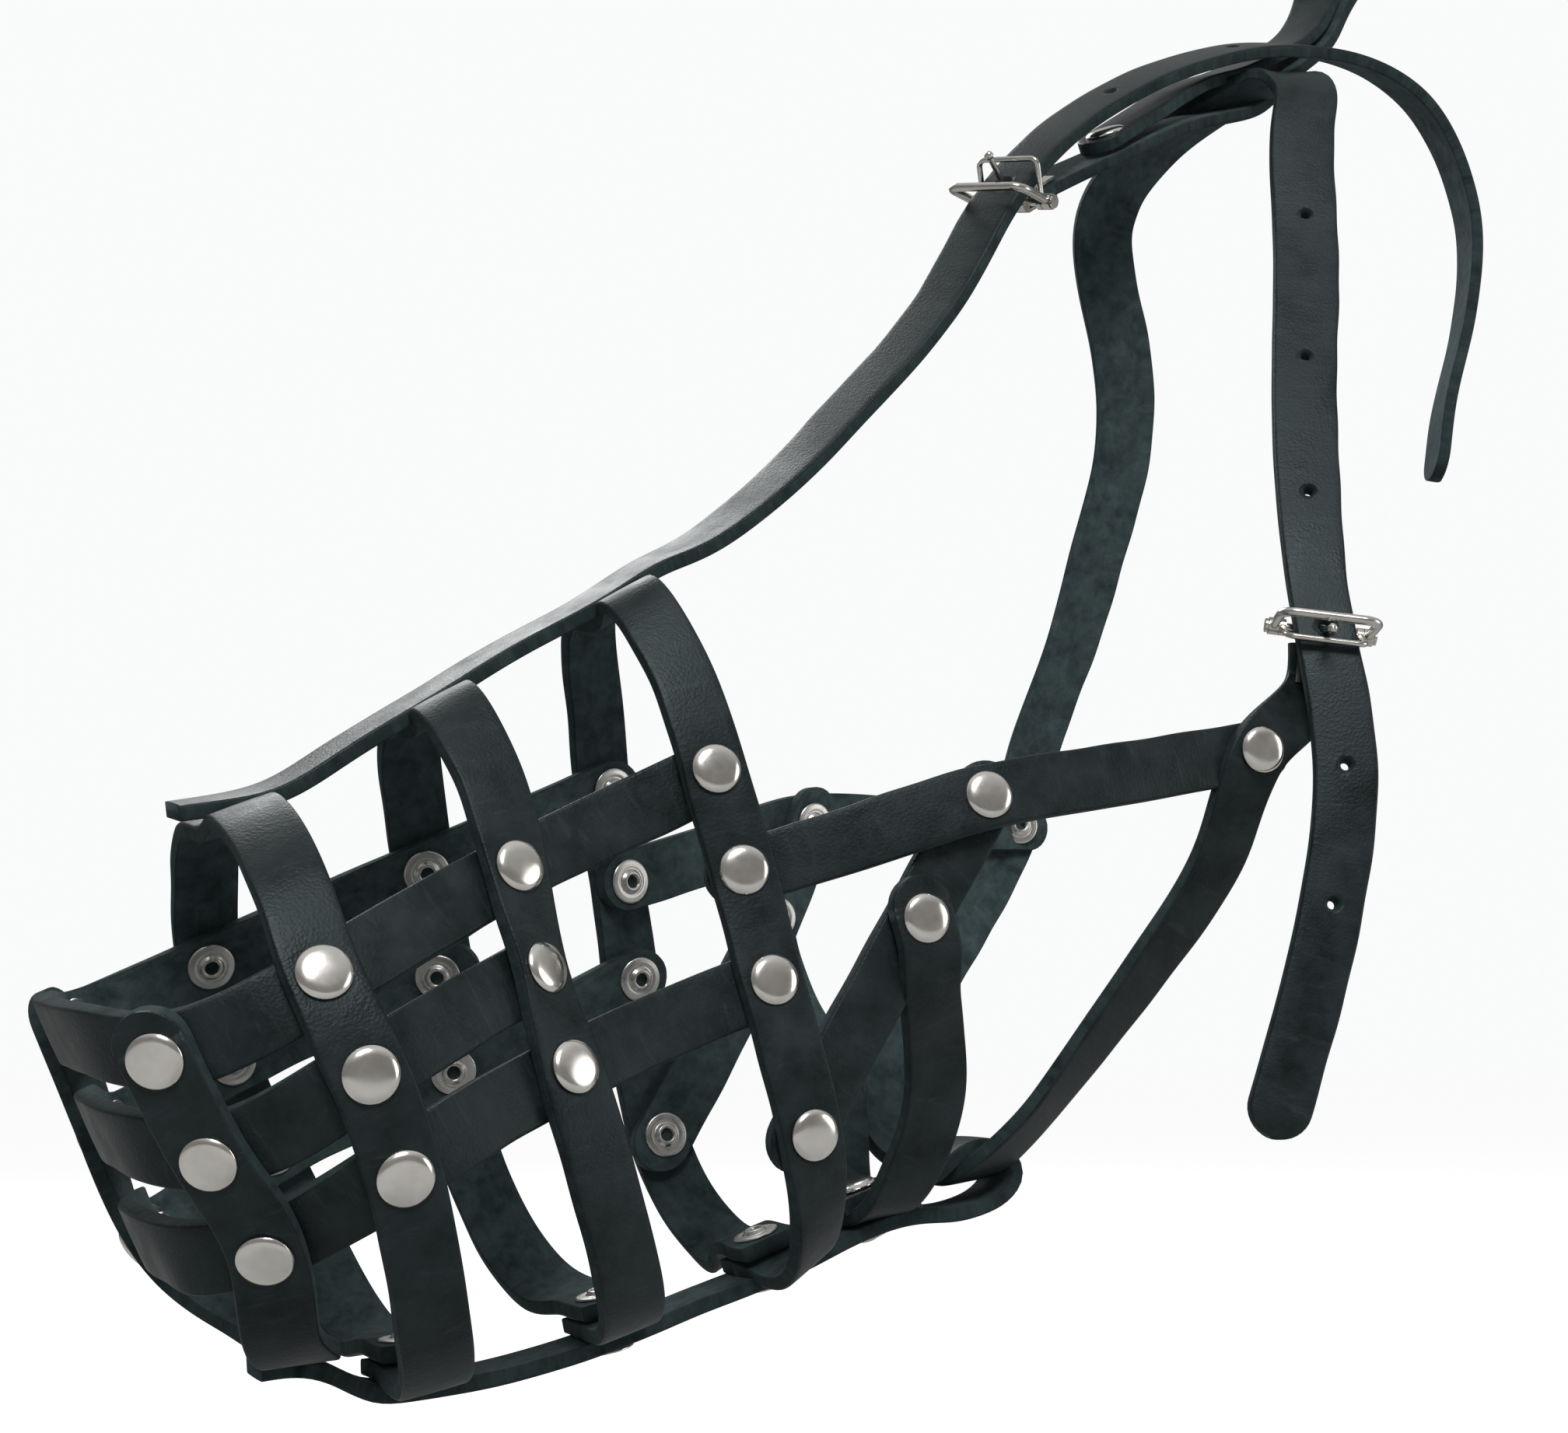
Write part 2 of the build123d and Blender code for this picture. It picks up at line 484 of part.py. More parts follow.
def rivet_cap(p, n, outside, inside, r=rivet_cap_r, h=rivet_cap_h):
    """Dome and tubular post in one piece."""
    top = leather / 2 + pitch * (outside - 0.5) + 0.3
    low = -(leather / 2 + pitch * (inside - 0.5)) - 0.3 - washer_h - 0.25
    ball = (r * r + h * h) / (2 * h)
    dome = Pos(0, 0, top + h - ball) * Sphere(ball) & Pos(0, 0, top + h / 2) * Box(4 * r, 4 * r, h)
    post = Pos(0, 0, (top + 0.2 + low) / 2) * Cylinder(rivet_post_r, top + 0.2 - low)
    bore = Pos(0, 0, low + 1.6) * Cylinder(rivet_post_r - 0.5, 3.2)
    return Plane(origin=vec(p), z_dir=dirv(n)) * (dome + post - bore)


def rivet_back(p, n, outside, inside):
    """Flat washer with a rolled ring round the post."""
    z = -(leather / 2 + pitch * (inside - 0.5)) - 0.3
    disc = Pos(0, 0, z - washer_h / 2) * (
        Cylinder(washer_r, washer_h) - Cylinder(rivet_post_r + 0.06, washer_h + 1))
    return Plane(origin=vec(p), z_dir=dirv(n)) * (
        disc + Pos(0, 0, z - washer_h) * Torus(washer_r - 1.25, 0.3))


def save(name, *shapes):
    solids = [x for s in shapes for x in s.solids()]
    export_step(Compound(children=solids) if len(solids) > 1 else solids[0], f"parts/{name}.step")
    NODES[name] = solids
    print(name, len(solids), round(sum(x.volume for x in solids), 1), flush=True)


def drills(keys, sides=(-1, 1)):
    return [rivet_seat(crossing(k, s), normal[k + ("-" if s < 0 else "+")], 1, 1)
            for k in keys for s in sides]


# ---------------------------------------------------------------- buckle clip, which seats two straps
def clip(dip, air=0.0):
    """Sheet folded round the pin, its two leaves holding the end of a strap."""
    width, long, inner, t = 9.0 + 2 * air, 12.0 + air, leather / 2 + 0.15 - air, plate_t + 2 * air
    sheet = Rot(90, 0, 0) * (Cylinder(inner + t, width) - Cylinder(heel_r + pin_fit, width + 1))
    sheet = sheet - Pos(3.5, 0, 0) * Box(7, width + 1, 2 * inner)
    for s in (-1, 1):
        sheet = sheet + Pos(long / 2, 0, s * (inner + t / 2)) * Box(long, width, t)
    if not air:
        sheet = sheet - Box(7.0, 3.4, 8)
    return Rot(0, dip, 0) * sheet


pin_fit = 0.05                                  # running clearance round the heel pin
seat_of = {k: Plane(origin=vec(o), x_dir=dirv(x), z_dir=dirv(z))
           for k, (o, x, y, z) in (("neck", neck_buckle), ("forehead", forehead_buckle))}

# ---------------------------------------------------------------- leather
hoops = [hoop_stations[h] for h in ("h1", "h2", "h3")]
front_line, chin_run = front_stations["front"], chin_stations["chin"]
forehead_run, jowl_run = forehead_stations["forehead"], jowl_stations["jowl"]
neck_run, crown_run = neck_stations["neck"], crown_stations["crown"]
throat_n = {"fore": unit((0.33, 0, -0.95)), "aft": unit((0.15, 0, -1))}
throat = [(throat_at["fore"], -throat_n["fore"], 1.5, 1.5), (throat_at["aft"], -throat_n["aft"], 1, 1)]

for b, label in (("u", "upper"), ("m", "middle"), ("l", "lower")):
    s = strap(band_stations[b], drills(BAND[b]))
    save(f"nose_band_{label}", dented(s, band_stations[b], front_line, *hoops))
s = strap(front_line, [drill(i[0], i[1]) for i in RIVETS["front_strap"]])
save("front_strap", s)
for i, (h, label) in enumerate((("h1", "front"), ("h2", "middle"), ("h3", "rear"))):
    s = strap(hoop_stations[h], drills(HOOP[h]) + [rivet_seat(*bottom_rivets[i])], (False, False))
    save(f"hoop_{label}", dented(s, hoop_stations[h], chin_run, forehead_run))

cuts = [drill(forehead_hole, fh_n, punch_r)]
for spot in ((212.7, 0, 245.3), (250.5, 0, 265.6)):
    f = nearest(forehead_run, spot)
    cuts.append(drill(f[0], f[3], punch_r - 0.4))
save("forehead_strap", strap(forehead_run, cuts, (False, True)))
save("chin_strap", strap(chin_run, [rivet_seat(*i) for i in bottom_rivets + throat], (False, False)))
for label, side in (("left", -1), ("right", 1)):
    line, cheek = diagonal_stations[label], cheek_stations[label]
    s = strap(line, drills(("h3d", "j", "c"), (side,)))
    save(f"diagonal_strap_{label}", dented(s, line, hoops[2], cheek, jowl_run))
    s = strap(cheek, drills(("h3c", "c", "n"), (side,)))
    save(f"cheek_strap_{label}", dented(s, cheek, hoops[2], neck_run))
s = strap(jowl_run, drills(("j",)) + [rivet_seat(*throat[0])] + drills(("c",)))
save("jowl_strap", dented(s, jowl_run, chin_run))

cuts = drills(("n",)) + [drill(neck_hole, (-0.5, -0.86, 0.0), punch_r), seat_of["neck"] * clip(0.0, 0.12),
                        seat_of["neck"] * Rot(90, 0, 0) * Cylinder(2.25, 24)]
for spot in ((252.0, -22.0, 213.4), (240.4, -33.0, 172.8), (230.8, -43.0, 137.2),
             (224.8, -57.5, 74.7), (219.6, -57.5, 45.9)):
    f = nearest(neck_run, spot)
    cuts.append(drill(f[0], f[3], punch_r - 0.4, 7.0))
s = strap(neck_run, cuts + [rivet_seat(*throat[1])], (False, True), width_along)
save("neck_strap", dented(s, neck_run, chin_run))
crown_end = end_cutter(strap_frames(crown_run, 6.0)[-1], 1, leather + 0.5)    # clears the layer below
s = strap(crown_run, [seat_of["forehead"] * clip(clip_dip, 0.12), rivet_seat(*crown_rivet), crown_end],
          (False, False))
save("crown_loop_strap", dented(s, crown_run, neck_run, forehead_run))

# ---------------------------------------------------------------- rivets
for area, items in RIVETS.items():
    save(f"{area}_rivet_caps", *[rivet_cap(*i) for i in items])
    save(f"{area}_rivet_backs", *[rivet_back(*i) for i in items])
save("chin_rivet_caps", *[rivet_cap(*i, h=1.0) for i in bottom_rivets])
save("chin_rivet_backs", *[rivet_back(*i) for i in bottom_rivets])
save("throat_rivet_caps", *[rivet_cap(*i) for i in throat])
save("throat_rivet_backs", *[rivet_back(*i) for i in throat])
save("crown_rivet_cap", rivet_cap(*crown_rivet))
save("crown_rivet_back", rivet_back(*crown_rivet))


# ---------------------------------------------------------------- buckles
frame_depth, keeper_depth, prong_length = 12.5, 10.0, 14.5
frame_half = buckle_width / 2 - wire_d / 2      # middle of the frame's side wires
keeper_half = 8.15


def loop(half, depth, d, corner):
    """Wire bent round three sides, rising from the heel pin."""
    path = FilletPolyline((0, -half, 0.8), (0, -half, depth), (0, half, depth), (0, half, 0.8),
                          radius=corner)
    wire = sweep(Plane(origin=(0, -half, 0.8), z_dir=(0, 0, 1)) * Circle(d / 2), path=path)
    bore = Rot(90, 0, 0) * Cylinder(heel_r + pin_fit, 4 * half)
    for s in (-1, 1):
        wire = wire + Pos(0, s * half, 0) * Rot(90, 0, 0) * Cylinder(heel_r + 0.85, d)
    return wire - bore


def prong():
    eye = Rot(90, 0, 0) * (Cylinder(heel_r + 0.75, 3.0))
    rod = (Pos(0, 0, prong_length / 2) * Cylinder(prong_wire_d / 2, prong_length)
           + Pos(0, 0, prong_length) * Sphere(1.05))
    return eye + rod - Rot(90, 0, 0) * Cylinder(heel_r + pin_fit, 9)


def pin():
    half = buckle_width / 2 + 0.15
    rod = Rot(90, 0, 0) * Cylinder(heel_r, 2 * half + 1)
    for s in (-1, 1):
        rod = rod + Pos(0, s * (half + 0.3), 0) * Rot(90, 0, 0) * Cylinder(heel_r + 0.5, 0.6)
    return rod


# swing of each part about its pin at rest, positive towards the clip
for label, (o, x, y, z), dip, swing in (("neck", neck_buckle, 0.0, (-3.0, 22.0, 9.0)),
                                        ("forehead", forehead_buckle, clip_dip, (-30.0, 30.0, 0.0))):
    seat = seat_of[label]
    save(f"{label}_buckle_frame", seat * (Rot(0, swing[0], 0) * loop(frame_half, frame_depth, wire_d, 3.0)))
    save(f"{label}_buckle_keeper",
         seat * (Rot(0, swing[1], 0) * loop(keeper_half, keeper_depth, keeper_wire_d, 1.8)))
    save(f"{label}_buckle_prong", seat * (Rot(0, swing[2], 0) * prong()))
    save(f"{label}_buckle_clip", seat * clip(dip))
    save(f"{label}_buckle_pin", seat * pin())
    print(label, "pin at", [round((a - b) / 1000, 5) for a, b in zip(o, ORIGIN)],
          "axis", [round(float(v), 4) for v in y])
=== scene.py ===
from math import cos, pi, radians, sin, tan

import bmesh
import bpy
import numpy as np
from mathutils import Matrix, Vector


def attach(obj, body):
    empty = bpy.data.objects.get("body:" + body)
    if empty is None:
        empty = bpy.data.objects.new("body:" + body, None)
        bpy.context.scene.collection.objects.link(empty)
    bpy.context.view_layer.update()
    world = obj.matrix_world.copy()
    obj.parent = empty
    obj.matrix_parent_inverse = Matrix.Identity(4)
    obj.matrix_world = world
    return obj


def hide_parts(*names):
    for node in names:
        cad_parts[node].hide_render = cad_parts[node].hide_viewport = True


# Looks of the basket muzzle. The strap lines are the CAD's own: the same net of crossings, in
# millimetres from the middle rivets of the front strap, brought into the row frame by ORIGIN.

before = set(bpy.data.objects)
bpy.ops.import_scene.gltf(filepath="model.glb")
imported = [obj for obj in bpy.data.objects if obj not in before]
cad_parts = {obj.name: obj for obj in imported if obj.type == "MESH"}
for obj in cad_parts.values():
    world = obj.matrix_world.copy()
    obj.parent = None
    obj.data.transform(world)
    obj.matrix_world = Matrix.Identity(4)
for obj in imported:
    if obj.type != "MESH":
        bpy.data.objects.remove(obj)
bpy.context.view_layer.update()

# ---------------------------------------------------------------- driving dimensions
strap_width = 12.7        # every strap is cut to this width
neck_width = 15.0         # but the neck strap widens to this over the crown
leather = 3.0             # thickness of the leather
layer_gap = 0.45          # air between two straps lying on each other
pitch = leather + layer_gap
rivet_cap_r = 4.8         # nickel domes
rivet_cap_h = 2.1
rivet_post_r = 1.9
washer_r = 4.7            # backs of the rivets
washer_h = 0.8
end_reach = 8.5           # from the last rivet to the end of a strap
lean_deg = (3.5, -8.0)    # how far the hanging basket leans over at the nose, and the change to the neck
lean_length = 211.0
ORIGIN = (109.0, 0.0, 42.0)


def unit(v):
    v = np.asarray(v, float)
    return v / np.linalg.norm(v)


def lean(p):
    """The hanging basket leans over its own length: a point to the far side is lifted a little."""
    a = radians(lean_deg[0] + lean_deg[1] * p[0] / lean_length)
    return np.array([p[0], p[1], p[2] + p[1] * tan(a)])


class Curve:
    """A natural cubic through its stations, on the chord between them."""

    def __init__(self, stations):
        p = self.p = np.array(stations, float)
        n = len(p)
        self.k = k = np.concatenate(
            [[0], np.cumsum(np.linalg.norm(np.diff(p[:, :3], axis=0), axis=1) ** 0.8)])
        h = self.h = np.diff(k)
        a, b = np.zeros((n, n)), np.zeros((n, p.shape[1]))
        a[0, 0] = a[-1, -1] = 1
        for i in range(1, n - 1):
            a[i, i - 1 : i + 2] = h[i - 1], 2 * (h[i - 1] + h[i]), h[i]
            b[i] = 6 * ((p[i + 1] - p[i]) / h[i] - (p[i] - p[i - 1]) / h[i - 1])
        self.m = np.linalg.solve(a, b)

    def at(self, t):
        i = min(max(int(np.searchsorted(self.k, t, side="right")) - 1, 0), len(self.p) - 2)
        h, a, c = self.h[i], (self.k[i + 1] - t) / self.h[i], (t - self.k[i]) / self.h[i]
        here = a * self.p[i] + c * self.p[i + 1] + (
            (a**3 - a) * self.m[i] + (c**3 - c) * self.m[i + 1]) * h * h / 6
        slope = (self.p[i + 1] - self.p[i]) / h + (
            (1 - 3 * a * a) * self.m[i] + (3 * c * c - 1) * self.m[i + 1]) * h / 6
        return here, slope


def strap_frames(stations, step=5.0):
    """Stations are (point, outward normal) pairs. Gives (point, along, across, outward) down the strap."""
    c = Curve([list(p) + list(unit(n)) for p, n in stations])
    frames = []
    for i in range(len(c.k) - 1):
        length = np.linalg.norm(c.p[i + 1][:3] - c.p[i][:3])
        for t in np.linspace(c.k[i], c.k[i + 1], max(2, int(length / step) + 1), endpoint=False):
            frames.append(c.at(t))
    frames.append(c.at(c.k[-1]))
    out = []
    for here, slope in frames:
        along = unit(slope[:3])
        outward = unit(here[3:6] - np.dot(here[3:6], along) * along)
        out.append((here[:3], along, np.cross(outward, along), outward))
    return out


def width_along(p, spare=0.0):
    """Width of the neck strap at a point: plain up to the buckle, wider over the crown."""
    return strap_width + (neck_width - strap_width) * min(1.0, max(0.0, (p[2] - 110.0) / 80.0)) + spare


# ---------------------------------------------------------------- the net of crossings
# Where two straps cross: distance from the middle, then x and z on the left and on the right. The
# hanging basket sits a little askew, so the two sides differ.
CROSS = {
    "f1": (37.0, -5.9, 15.7, -11.1, 20.9), "f2": (35.0, 3.6, -0.4, -3.2, 1.7),
    "f3": (31.0, 13.7, -15.9, 5.5, -18.1),
    "h1u": (42.7, 17.8, 27.8, 15.9, 34.3), "h1m": (46.5, 25.1, 12.4, 21.7, 14.4),
    "h1l": (44.5, 32.0, -3.6, 30.0, -4.0),
    "h2u": (27.6, 55.2, 48.4, 55.6, 53.1), "h2m": (31.3, 58.6, 30.0, 60.6, 32.4),
    "h2l": (35.5, 63.4, 12.8, 64.9, 13.1),
    "h3u": (26.5, 95.4, 69.0, 94.6, 72.0), "h3c": (28.5, 100.6, 50.0, 99.2, 52.6),
    "h3l": (31.8, 104.8, 29.1, 103.6, 32.4),
    "h3d": (33.8, 111.9, 1.4, 111.3, -1.3), "c": (38.5, 148.8, 65.6, 148.8, 69.0),
    "j": (37.0, 134.6, 41.5, 139.0, 46.6),
    "n": (46.5, 210.6, 78.4, 211.2, 72.0),
}
# The same net on the middle plane, where the hoops meet the forehead strap and the chin strap.
TOP = {"h1": (10.1, 0.0, 58.8), "h2": (47.6, 0.0, 81.7), "h3": (85.0, 0.0, 106.4)}
BOTTOM = {"h1": (46.3, 0.0, -42.6), "h2": (85.8, 0.0, -36.4), "h3": (119.9, 0.0, -26.0)}
top_slope = {"h1": (1, 0, 0.35), "h2": (1, 0, 0.665), "h3": (1, 0, 0.69)}
bottom_slope = {"h1": (1, 0, 0.04), "h2": (1, 0, 0.22), "h3": (1, 0, 0.35)}
SHOULDER = {  # hoop stations between the top and the upper rivet, top first
    "h1": [(10.6, 14.0, 57.4), (13.2, 33.0, 47.5)],
    "h2": [(47.9, 9.5, 80.6), (51.0, 21.0, 69.0)],
    "h3": [(85.4, 9.0, 105.0), (89.8, 20.0, 91.0)],
}
HIP = {  # hoop stations between the lowest rivet and the bottom
    "h1": [(38.5, 38.5, -23.5), (45.0, 21.0, -38.2)],
    "h2": [(71.5, 35.0, -10.5), (81.8, 20.5, -30.5)],
    "h3": [(115.5, 28.5, -14.5), (119.4, 14.0, -23.4)],
}
NOSE = {"u": [(-15.0, 27.5, 18.6), (-17.9, 14.5, 18.8), (-18.6, 0.0, 18.9)],
        "m": [(-6.8, 25.5, 1.4), (-10.0, 13.5, 2.0), (-10.8, 0.0, 2.2)],
        "l": [(2.2, 23.0, -17.0), (-1.5, 12.0, -16.9), (-2.4, 0.0, -16.9)]}
BAND = {"u": ["f1", "h1u", "h2u", "h3u"], "m": ["f2", "h1m", "h2m"], "l": ["f3", "h1l", "h2l", "h3l"]}
BAND_REACH = {"u": 6.6, "m": end_reach, "l": 6.6}
HOOP = {"h1": ["h1u", "h1m", "h1l"], "h2": ["h2u", "h2m", "h2l"], "h3": ["h3u", "h3c", "h3l", "h3d"]}


def at(p, side):
    return lean((p[0], side * p[1], p[2]))


def crossing(name, side):
    half, xl, zl, xr, zr = CROSS[name]
    return np.array((xl, -half, zl) if side < 0 else (xr, half, zr))


def slopes(points):
    c = Curve([list(p) for p in points])
    return [unit(c.at(t)[1]) for t in c.k]


# Band lines, left end first, round the nose to the right end.
band_points, band_keys = {}, {}
for b, names in BAND.items():
    pts, keys = [], []
    for n in reversed(names):
        pts.append(crossing(n, -1)), keys.append(n + "-")
    for p in NOSE[b]:
        pts.append(at(p, -1)), keys.append("nose")
    for p in reversed(NOSE[b][:-1]):
        pts.append(at(p, 1)), keys.append("nose")
    for n in names:
        pts.append(crossing(n, 1)), keys.append(n + "+")
    band_points[b], band_keys[b] = pts, keys
over = {}   # direction, towards the neck, of the strap that crosses a hoop or the front strap
for b in BAND:
    for key, s in zip(band_keys[b], slopes(band_points[b])):
        if key != "nose":
            over[key] = s if key.endswith("+") else -s
for side, sign in (("-", -1), ("+", 1)):
    for key, s in zip(("h3c", "c", "n"), slopes([crossing(k, sign) for k in ("h3c", "c", "n")])):
        over[key + side] = s
    for key, s in zip(("h3d", "j", "cd"), slopes([crossing(k, sign) for k in ("h3d", "j", "c")])):
        over[key + side] = s

# Hoop straps start under the chin, go up the left side, over the top and down the right side; their
# two ends lap over each other on the chin strap.
normal, hoop_stations = {}, {}
for h, names in HOOP.items():
    ts, bs = unit(top_slope[h]), unit(bottom_slope[h])
    top_ref = np.array(TOP[h]) - np.cross(ts, (0, 1, 0)) * pitch
    bottom_ref = np.array(BOTTOM[h]) - np.cross((0, 1, 0), bs) * pitch
    left = [(at(p, -1), "", None) for p in HIP[h][::-1]] + [
        (crossing(n, -1), n + "-", over[n + "-"]) for n in names[::-1]]
    left += [(at(p, -1), "", None) for p in SHOULDER[h][::-1]]
    right = [(at(p, 1), "", None) for p in SHOULDER[h]] + [
        (crossing(n, 1), n + "+", over[n + "+"]) for n in names]
    right += [(at(p, 1), "", None) for p in HIP[h]]
    line = ([(bottom_ref, "bottom", bs)] + left + [(top_ref, "top", ts)] + right
            + [(bottom_ref, "bottom", bs)])
    run = slopes([p for p, _, _ in line])
    run[0] = run[-1] = np.array((0.0, -1.0, 0.0))
    st, last = [], len(line) - 1
    for i, ((p, label, v), t) in enumerate(zip(line, run)):
        if v is None:   # between two crossings the strap lies halfway between their directions
            lo = next(j for j in range(i, -1, -1) if line[j][2] is not None)
            hi = next(j for j in range(i, last + 1) if line[j][2] is not None)
            v = unit(line[lo][2] * (hi - i) + line[hi][2] * (i - lo))
        n = unit(np.cross(v, t))
        n = n if np.dot(n, p - np.array((p[0], 0, 0.3 * p[0]))) > 0 else -n
        if label.endswith(("-", "+")):
            normal[label] = n
        level = {last: -0.5, last - 1: 0.05}.get(i, 0.5) * pitch
        if i == last:
            st.append((p + n * level + np.array((0, 7.8, 0)), n))
        st.append((p + n * level, n))
        if i == 0:
            st.insert(0, (p + n * level + np.array((0, 6.5, 0)), n))
        if i == last:
            st.append((p + n * level + np.array((0, -6.5, 0)), n))
    hoop_stations[h] = st

# The nose bands lie inside the hoops and inside the front strap.
for side, sign in (("-", -1), ("+", 1)):
    chain = [crossing(k, sign) for k in ("f1", "f2", "f3")] + [at((19.0, 22.0, -29.5), sign)]
    for key, s in zip(("f1", "f2", "f3"), slopes(chain)):
        n = unit(np.cross(s, over[key + side]))
        normal[key + side] = n if n[1] * sign > 0 else -n
nose_rise = unit((-17.5, 0, 36.0))
band_stations = {}
for b in BAND:
    run = slopes(band_points[b])
    st = []
    for key, p, t in zip(band_keys[b], band_points[b], run):
        n = unit(np.cross(nose_rise, t)) if key == "nose" else normal[key]
        n = n if key != "nose" or n[0] < 0 else -n
        n = unit(n - np.dot(n, t) * t)
        st.append((p - n * pitch / 2, n))
    st.insert(0, (st[0][0] - run[0] * BAND_REACH[b], st[0][1]))
    st.append((st[-1][0] + run[-1] * BAND_REACH[b], st[-1][1]))
    band_stations[b] = st

# Front strap: outside the nose bands, down both sides, its bottom lying on the chin strap.
chin_line = [(19.0, -39.4), (26.5, -39.2), (33.0, -41.2), (39.5, -44.2), (46.3, -44.6), (58.0, -43.6),
             (73.0, -41.0), (85.8, -38.0), (103.0, -32.4), (119.9, -27.4), (132.0, -22.6), (141.5, -19.2),
             (148.5, -17.6), (154.5, -17.0), (161.0, -16.8), (167.5, -15.6), (173.6, -12.8), (176.2, -8.8),
             (174.2, -4.8), (168.5, -2.8), (162.0, -4.8), (157.5, -8.2), (151.5, -10.4), (141.5, -12.3),
             (134.5, -15.0)]
front = []
for sign in (-1, 1):
    side = "-" if sign < 0 else "+"
    leg = [(crossing(k, sign) + normal[k + side] * pitch / 2, normal[k + side]) for k in ("f1", "f2", "f3")]
    t = unit(leg[0][0] - leg[1][0])
    leg.insert(0, (leg[0][0] + t * end_reach, leg[0][1]))
    leg.append((at((18.8, 23.0, -31.0), sign), (-0.15, 0.72 * sign, -0.68)))
    leg.append((at((24.5, 13.0, -35.2), sign), (0.0, 0.3 * sign, -0.95)))
    front.append(leg)
front_stations = {"front": front[0] + [((26.0, 0, -39.2 + pitch), (0, 0, -1))] + front[1][::-1]}


def on_plane(line, flip=1.0, roll=None, y=None):
    """Stations of a strap on the middle plane: x, z points, outward side by flip, roll in degrees."""
    pts = [np.array((p[0], 0.0 if y is None else y[i], p[1])) for i, p in enumerate(line)]
    out = []
    for i, (p, t) in enumerate(zip(pts, slopes(pts))):
        n = unit(np.cross(t, (0, 1, 0))) * flip
        a = radians(roll[i]) if roll else 0.0
        out.append((p, n * cos(a) + np.array((0, -1.0, 0)) * sin(a)))
    return out


chin_stations = {"chin": on_plane(chin_line, -1.0)}
# Forehead strap: flat over the hoops, then rolled towards the left as it climbs to its buckle.
forehead_line = [(0.2, 59.2), (9.7, 61.2), (17.6, 63.9), (29.0, 71.4), (46.7, 83.8),
                 (65.0, 96.3), (84.0, 108.5), (92.5, 114.6), (101.0, 119.4), (117.5, 132.3),
                 (143.5, 160.1), (163.8, 185.6), (181.7, 215.6), (212.7, 245.3), (250.5, 265.6),
                 (283.6, 272.5), (310.1, 267.0), (325.1, 246.7), (327.7, 225.1), (322.7, 202.6),
                 (315.6, 182.2), (311.0, 162.1)]
forehead_turn = 29.0      # how far the strap has rolled towards the left where its buckle sits
forehead_roll = [10, 11, 12, 12, 12, 12, 13, 14, 17, 22, 28, 29, forehead_turn, 29, 28, 27, 26, 26, 26, 26,
                 26, 26]
forehead_stations = {"forehead": on_plane(forehead_line, 1.0, forehead_roll)}
# ---------------------------------------------------------------- where the two buckles sit
heel_below = 4.4          # heel bar axis to the middle of the strap that runs over it


def buckle_place(hole, n, t, turn):
    """Frame of a buckle: origin on the heel bar, x along the clip's strap, y along the bar, z outward."""
    n = unit(n)
    t = unit(np.asarray(t, float) - np.dot(t, n) * n)
    b = np.cross(n, t)
    x = t * cos(radians(turn)) - b * sin(radians(turn))
    return np.asarray(hole, float) - n * heel_below, x, np.cross(n, x), n


neck_hole = (225.8, -52.0, 105.1)
neck_buckle = buckle_place(neck_hole, (-0.5, -0.86, 0.0), (0.0, -0.1, -1.0), 11.0)
forehead_hole = (181.7, 0.0, 215.6)
fh_t = unit((0.51, 0.0, 0.86))
fh_n = unit(np.cross(fh_t, (0, 1, 0)) * cos(radians(forehead_turn))
            + np.array((0, -1.0, 0)) * sin(radians(forehead_turn)))
forehead_buckle = buckle_place(forehead_hole, fh_n, fh_t, 0.0)
clip_dip = 26.0           # the crown loop leaves the forehead buckle this far inward of the strap above it


# Crown loop: one strap folded double. The lower layer runs up from the buckle, round the far end and back.
crown_lower = [(212.2, 0.5, 230.6), (229.0, 1.5, 240.8), (246.0, 5.0, 249.0), (262.0, 10.0, 258.2),
               (278.0, 15.0, 273.4), (291.0, 17.0, 285.0), (299.0, 17.5, 298.5), (306.5, 17.5, 310.5)]
crown_upper = [(204.5, -0.8, 229.5), (210.3, -0.7, 233.9), (227.0, 1.5, 246.8), (242.0, 5.5, 257.5),
               (256.0, 10.0, 265.4),
               (274.5, 15.0, 277.5), (287.6, 17.0, 287.8), (294.6, 17.5, 300.2), (297.0, 17.5, 311.0)]
crown_eye = [((309.0, 17.5, 319.5), (0.95, 0.1, 0.15)), ((304.5, 17.5, 325.5), (0.1, -0.1, 1.0)),
             ((299.0, 17.5, 320.5), (-0.95, -0.2, 0.25))]
hb, hx, hy, hn = forehead_buckle
clip_x = unit(hx * cos(radians(clip_dip)) - hn * sin(radians(clip_dip)))
clip_n = np.cross(clip_x, hy)
crown_start = [(hb + clip_x * 2.4, -clip_n), (hb + clip_x * 12.5, -clip_n)]
crown_stations = {"crown": crown_start + [(p, (0.45, 0.4, -0.8)) for p in crown_lower] + crown_eye
                  + [(p, (-0.5, -0.35, 0.8)) for p in crown_upper[::-1]]}

